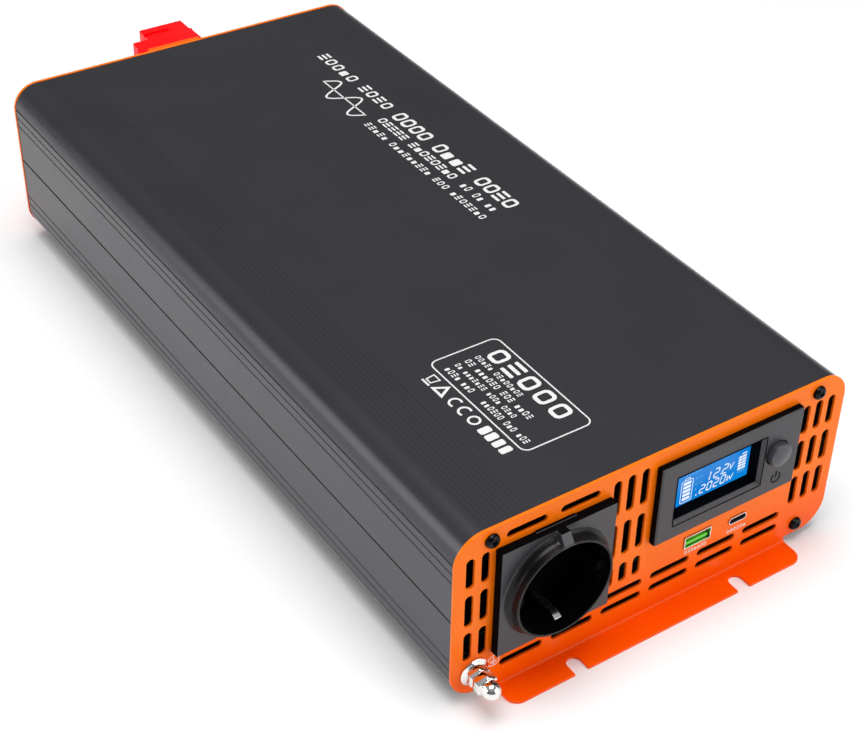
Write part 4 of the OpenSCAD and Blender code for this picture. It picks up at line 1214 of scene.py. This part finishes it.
# %% Wave, frame and marks
top_plane = (Vector((0, MIDDLE_Y, CASE_TOP)), Vector((0, -1, 0)), Vector((1, 0, 0)))
wave = [
    (-114 + 37 * i / 56, 35.6 + 6.6 * math.sin(4 * math.pi * i / 56)) for i in range(57)
]
drawn = flat_solid(
    "wave_symbol_print",
    top_plane,
    white_ink,
    (),
    [(wave, 0.95, False), ([(-114.5, 35.6), (-76.5, 35.6)], 0.7, False)],
)
keep(drawn, body=root_body)
drawn = flat_solid(
    "rating_frame_print",
    top_plane,
    white_ink,
    (),
    [(rounded_box(94.3, -42.7, 155.3, -11.9, 3.2, 5), 0.6, True)],
)
keep(drawn, body=root_body)
MARK = -47.5
drawn = flat_solid(
    "plain_marks_print",
    top_plane,
    white_ink,
    [
        [(101.0, MARK - 3.0), (105.6, MARK - 3.0), (105.6, MARK - 2.1), (101.0, MARK - 2.1)],
        *[rounded_box(u, MARK - 2.6, u + 3.4, MARK + 2.6, 0.8, 2) for u in (136.2, 140.5)],
        *[rounded_box(u, MARK - 2.6, u + 3.0, MARK + 2.6, 0.8, 2) for u in (145.0, 149.2)],
    ],
    [
        ([(101.2, MARK + 2.6), (105.2, MARK + 2.6), (104.6, MARK - 1.2), (101.8, MARK - 1.2)], 0.6, True),
        ([(107.6, MARK - 2.2), (113.4, MARK - 2.2), (110.5, MARK + 2.8)], 1.1, True),
        (round_corner(119.2, MARK, 2.4, 60, 300, 14), 0.9, False),
        (round_corner(125.2, MARK, 2.4, 60, 300, 14), 0.9, False),
        (circle_path(131.2, MARK, 2.2, 20), 0.9, True),
    ],
)
keep(drawn, body=root_body)

# %% [markdown]
# On the front plate there are only small words below the two ports and the usual
# earth sign beside the earth stud.

# %% Print on the front plate
under_a = [(x, 22.3, 1.75, 1.15) for x in (16.8, 18.4, 20.0, 21.6, 23.2, 24.8, 26.3)]
under_c = [(x, 22.3, 1.75, 1.2) for x in (37.9, 39.6, 41.3, 43.0, 44.7, 46.3)]
lettered("port_labels_print", under_a + under_c, FRONT, (2, 3, 3), 12, "front")
front_plane = (Vector((0, FRONT, 0)), Vector((1, 0, 0)), Vector((0, 0, 1)))
EARTH_U, EARTH_V = -71.7, 14.8
drawn = flat_solid(
    "earth_sign_print",
    front_plane,
    white_ink,
    (),
    [
        (circle_path(EARTH_U, EARTH_V, 2.5), 0.34, True),
        ([(EARTH_U, EARTH_V + 1.7), (EARTH_U, EARTH_V - 0.1)], 0.4, False),
        ([(EARTH_U - 1.5, EARTH_V - 0.1), (EARTH_U + 1.5, EARTH_V - 0.1)], 0.38, False),
        ([(EARTH_U - 1.0, EARTH_V - 0.85), (EARTH_U + 1.0, EARTH_V - 0.85)], 0.38, False),
        ([(EARTH_U - 0.5, EARTH_V - 1.6), (EARTH_U + 0.5, EARTH_V - 1.6)], 0.38, False),
    ],
)
keep(drawn, body=root_body)
for stamp in stamps:
    bpy.data.objects.remove(stamp)
print("print done")

# %% [markdown]
# ## Display
# A backlit liquid crystal panel shows a battery, two readings and a load bar. Its
# digits are seven slanted segments each, so one function draws any digit from the
# segments that are lit. They lie just in front of the panel and glow like it.

# %% Digits and symbols on the display
panel_low, panel_high = box_mm("display_panel")
PANEL = panel_low[1]
panel_plane = (Vector((0, PANEL, 0)), Vector((1, 0, 0)), Vector((0, 0, 1)))
SLANT = 0.16
LIT = {"0": "abcdef", "1": "bc", "2": "abged"}


def digit(u, v, width, height, number):
    """Line paths of the lit segments of a digit whose lower left corner is (u, v)."""
    half, gap = height / 2, 0.18
    corners = {
        "a": ((gap, height), (width - gap, height)),
        "b": ((width, height - gap), (width, half + gap)),
        "c": ((width, half - gap), (width, gap)),
        "d": ((gap, 0), (width - gap, 0)),
        "e": ((0, half - gap), (0, gap)),
        "f": ((0, height - gap), (0, half + gap)),
        "g": ((gap, half), (width - gap, half)),
    }
    return [
        ([(u + a + SLANT * b, v + b) for a, b in corners[s]], 0.5, False)
        for s in LIT[number]
    ]


def block(u0, v0, u1, v1, lean=0.0):
    return [(u0, v0), (u1, v0), (u1 + lean, v1), (u0 + lean, v1)]


shown = []
for number, u in (("1", 24.6), ("2", 29.0), ("2", 33.2)):
    shown += digit(u, 51.4, 2.2, 4.1, number)
for number, u in (("2", 22.6), ("0", 26.0), ("2", 29.4), ("0", 32.8)):
    shown += digit(u, 46.7, 2.1, 3.6, number)
shown += [
    ([(36.9, 54.8), (37.3, 52.2), (38.9, 54.8)], 0.42, False),
    ([(36.2, 49.2), (36.3, 46.8), (37.4, 48.6), (37.9, 46.8), (39.2, 49.2)], 0.4, False),
    (rounded_box(13.3, 45.9, 18.7, 56.4, 0.7, 3), 0.26, True),
    ([(14.8, 56.4), (14.9, 57.4), (17.1, 57.4), (17.2, 56.4)], 0.26, False),
]
filled = [block(14.2, 46.9 + 1.86 * i, 17.8, 48.15 + 1.86 * i) for i in range(5)]
filled += [block(u, 51.65, u + 0.5, 52.1) for u in (32.3,)]
filled += [block(20.8, 46.5, 21.4, 47.1)]
filled += [
    block(u, 49.6 + 1.4 * i, u + 1.75, 50.55 + 1.4 * i, 0.25)
    for i in range(5)
    for u in (41.0, 43.0)
]
filled += [block(42.6, 56.8, 44.9, 57.35, 0.15)]
faint = [block(15.0 + 1.15 * i, 58.4, 15.7 + 1.15 * i, 58.95) for i in range(7)]
faint += [block(20.2, v, 20.8, v + 0.7) for v in (49.5, 52.1, 55.0)]
faint += [block(22.0, v, 23.6, v + 0.3) for v in (52.2, 55.0)]
faint += [block(41.2, v, 44.9, v + 0.3) for v in (48.2, 49.0)]
for name, finish, loops, bands in (
    ("display_readings", segment_finish, filled, shown),
    ("display_faint_marks", faint_finish, faint, ()),
):
    drawn = flat_solid(name, panel_plane, finish, loops, bands, 0.04)
    keep(drawn, body=body_of_node["display_panel"])
print("display", len(shown), "segments")

# %% [markdown]
# ## Outlet springs
# Two sprung strips of plated bronze touch the sides of an earthed plug. Each is one
# strip bent to a bow, so its path is a side view and the strip has one thickness.

# %% Earth springs of the outlet
def strip(work, path, x_mid, width, thick):
    """A bent strip: path is (y, z), the width runs along X."""
    points = [Vector(p) for p in path]
    rings = []
    for i, p in enumerate(points):
        before = points[max(0, i - 1)]
        after = points[min(len(points) - 1, i + 1)]
        along = (after - before).normalized()
        side = Vector((-along.y, along.x)) * thick / 2
        ring = []
        for s, x in ((1, -1), (1, 1), (-1, 1), (-1, -1)):
            q = p + side * s
            ring.append(work.verts.new(Vector((x_mid + x * width / 2, q.x, q.y)) * MM))
        rings.append(ring)
    for a, b in zip(rings, rings[1:]):
        for k in range(4):
            m = (k + 1) % 4
            work.faces.new([a[k], a[m], b[m], b[k]])
    work.faces.new(rings[0])
    work.faces.new(list(reversed(rings[-1])))


springs = bmesh.new()
clip_low, clip_high = box_mm("outlet_earth_clips")
for way, front_y in ((-1, clip_low[1] + 1.5), (1, clip_low[1] + 9)):
    path = [
        (front_y, 17.0), (front_y + 1.0, 16.3), (front_y + 2.4, 15.7), (front_y + 4, 15.6),
        (front_y + 8, 15.9), (clip_high[1], 15.9),
    ]
    strip(springs, [(y, outlet_z + way * r) for y, r in path], outlet_x, 3.0, 0.8)
bmesh.ops.recalc_face_normals(springs, faces=springs.faces)
mesh = bpy.data.meshes.new("outlet_earth_springs")
springs.to_mesh(mesh)
springs.free()
mesh.materials.append(shell_finish)
keep(rounded(add_object("outlet_earth_springs", mesh), 0.15, 2), "outlet_earth_clips")

# %% [markdown]
# ## Battery terminals
# Soft covers snap over the terminals. They are moulded, with full edges and a slot
# in the top for the catch. The slot is a cutter taken from the cover, not a dark
# patch, so its floor shades itself.

# %% Terminal covers and bases
def slot_cutter(x, y, z, length, width, depth):
    outline = rounded_box(x - length / 2, y - width / 2, x + length / 2, y + width / 2, width / 2.2, 4)
    plane = (Vector((0, 0, z - depth)), Vector((1, 0, 0)), Vector((0, 1, 0)))
    return flat_solid("slot_cutter", plane, black_ink, [outline], (), depth + 1)


def terminal_base(sign, finish):
    """The moulded base; the positive one gets a guard rib above the seam to the cover."""
    node = "terminal_base_" + sign
    low, high = box_mm(node)
    mesh = merged(node + "_moulded", (node,))
    if sign == "pos":
        rib = rounded_box(low[0] + 1.5, -high[1] + 3.2, high[0] - 1.5, -REAR - 0.05, 0.8, 3)
        plane = (Vector((0, 0, high[2] - 0.5)), Vector((1, 0, 0)), Vector((0, -1, 0)))
        plane = (plane[0], plane[1], Vector((0, 1, 0)))
        rib = [(u, -v) for u, v in reversed(rib)]
        guard = flat_solid("terminal_base_guard", plane, finish, [rib], (), 2.9)
        keep(rounded(guard, 0.5, 3), body=body_of_node[node])
    mesh.materials.append(finish)
    keep(rounded(add_object(node + "_moulded", mesh), 0.5, 3), node)


for sign, finish, base in (("pos", red_finish, base_finish), ("neg", black_finish, black_finish)):
    node = "terminal_cover_" + sign
    low, high = box_mm(node)
    solid = add_object(node + "_moulded", merged(node + "_moulded", (node,)))
    solid.data.materials.append(finish)
    rounded(solid, 0.9, 3)
    cutter = slot_cutter(-3, high[1] - 6.5, high[2], 14, 2.8, 0.9)
    cut = solid.modifiers.new("slot", "BOOLEAN")
    cut.operation, cut.object, cut.solver = "DIFFERENCE", cutter, "EXACT"
    settled = bpy.context.evaluated_depsgraph_get()
    mesh = bpy.data.meshes.new_from_object(solid.evaluated_get(settled), depsgraph=settled)
    bpy.data.objects.remove(cutter)
    bpy.data.objects.remove(solid)
    keep(add_object(node + "_moulded", mesh), node)
    terminal_base(sign, base)
print("terminals done")

# %% [markdown]
# ## Fans
# Each rotor is a cup with seven blades. A blade is a thin bent wing, twisted so that
# it meets the air flatter at its tip. One blade is made, and the tree that put the
# screws in place now puts seven of them round the axis.

# %% Fan rotors
FAN_HUB, FAN_TIP, BLADES = 14.5, 27.3, 7
FAN_DEPTH = 15.0


def blade_master():
    work = bmesh.new()
    grid = []
    steps, across = 6, 6
    for i in range(steps + 1):
        share = i / steps
        r = FAN_HUB - 0.6 + (FAN_TIP - FAN_HUB + 0.6) * share
        pitch = math.radians(46 - 16 * share)
        row = []
        for j in range(across + 1):
            t = j / across - 0.5
            chord = (15.0 + 2.0 * share) * t
            sag = 1.5 * (1 - (2 * t) ** 2)
            round_ = (chord * math.cos(pitch) + sag * math.sin(pitch)) / r
            depth = -chord * math.sin(pitch) + sag * math.cos(pitch)
            depth = max(-6.4, min(6.4, depth))
            spot = Vector((r * math.sin(round_), depth, r * math.cos(round_)))
            row.append(work.verts.new(spot * MM))
        grid.append(row)
    for a, b in zip(grid, grid[1:]):
        for j in range(across):
            face = work.faces.new([a[j], a[j + 1], b[j + 1], b[j]])
            face.smooth = True
    bmesh.ops.recalc_face_normals(work, faces=work.faces)
    bmesh.ops.solidify(work, geom=work.faces[:], thickness=1.1 * MM)
    bmesh.ops.recalc_face_normals(work, faces=work.faces)
    mesh = bpy.data.meshes.new("blade")
    work.to_mesh(mesh)
    work.free()
    return add_object("blade", mesh)


blade = blade_master()
for side in ("left", "right"):
    node = f"fan_{side}_rotor"
    low, high = box_mm(node)
    # the blades reach as far as the imported rotor's tips; the axis is the middle of the imported frame's box
    axis_x, axis_z = middle_mm(f"fan_{side}_frame")[0], middle_mm(f"fan_{side}_frame")[2]
    face_y = high[1]
    cup = [
        (0, 0), (FAN_HUB - 1.2, 0), (FAN_HUB - 0.35, -0.35), (FAN_HUB, -1.2),
        (FAN_HUB, -FAN_DEPTH + 0.6), (FAN_HUB - 1.6, -FAN_DEPTH + 0.6), (FAN_HUB - 1.6, -1.5),
        (1.5, -1.5), (1.5, -(high[1] - low[1])), (0, -(high[1] - low[1])),
    ]
    mesh = lathe(node + "_cup", cup, (axis_x, axis_z), face_y, outward=1, turns=48)
    mesh.materials.append(fan_finish)
    keep(add_object(node + "_cup", mesh), node)
    rows = [
        ((axis_x, face_y - FAN_DEPTH / 2 - 0.2, axis_z), (1, 1, 1), (0, 360 * i / BLADES + 12, 0))
        for i in range(BLADES)
    ]
    blades = repeat(node + "_blades", blade, rows, fan_finish)
    keep(blades, body=body_of_node[node])
    print(node, "blades", len(blades.data.polygons))
bpy.data.objects.remove(blade)

# %% [markdown]
# ## Floor and light
# A white floor and a pale room, one large soft light above and two at the sides.

# %% Floor and lights
bpy.ops.mesh.primitive_plane_add(size=8, location=(0, 0, 0))
floor = bpy.context.object
floor.name = "floor"
floor_finish, tree, shader, place = start("matt_white_floor", Roughness=0.8)
tint(tree, shader, noise(tree, place, 300, 1), "#f4f4f4", "#f8f8f8")
floor.data.materials.append(floor_finish)

world = bpy.data.worlds.new("studio")
bpy.context.scene.world = world
world.use_nodes = True
sky = world.node_tree
ways = add(sky, "ShaderNodeTexCoord").outputs["Generated"]
height = add(sky, "ShaderNodeSeparateXYZ", {"Vector": ways}).outputs["Z"]
# the room is dim near the horizon, so dark faces stay dark, and pale overhead
rise = add(
    sky, "ShaderNodeMapRange", {"Value": height, "From Min": 0.4, "From Max": 0.95}
).outputs["Result"]
room = add(
    sky,
    "ShaderNodeMix",
    {"Factor": rise, "A": linear("#6c6d70"), "B": linear("#b4b5b8")},
    data_type="RGBA",
)
sky.links.new(
    [o for o in room.outputs if o.type == "RGBA"][0], sky.nodes["Background"].inputs["Color"]
)
sky.nodes["Background"].inputs["Strength"].default_value = 1.0


def soft_light(name, place, target, size, power, shape="RECTANGLE", height=None):
    data = bpy.data.lights.new(name, "AREA")
    data.shape = shape
    data.size = size
    data.size_y = height or size
    data.energy = power
    lamp = bpy.data.objects.new(name, data)
    spot, end = Vector(place), Vector(target)
    lamp.matrix_world = Matrix.LocRotScale(
        spot, (end - spot).to_track_quat("-Z", "Y"), None
    )
    bpy.context.collection.objects.link(lamp)
    return lamp


soft_light("top_light", (-0.1, -0.1, 1.5), (0, 0, 0), 0.9, 19, height=1.2)
soft_light("front_light", (0.8, -1.3, 0.6), (0, -0.1, 0.04), 1.5, 11, height=1)
soft_light("left_light", (-1.5, 0.6, 0.5), (0, 0.1, 0.04), 1.7, 12, height=0.8)
bpy.context.scene.view_settings.view_transform = "Standard"
print("lights ready")
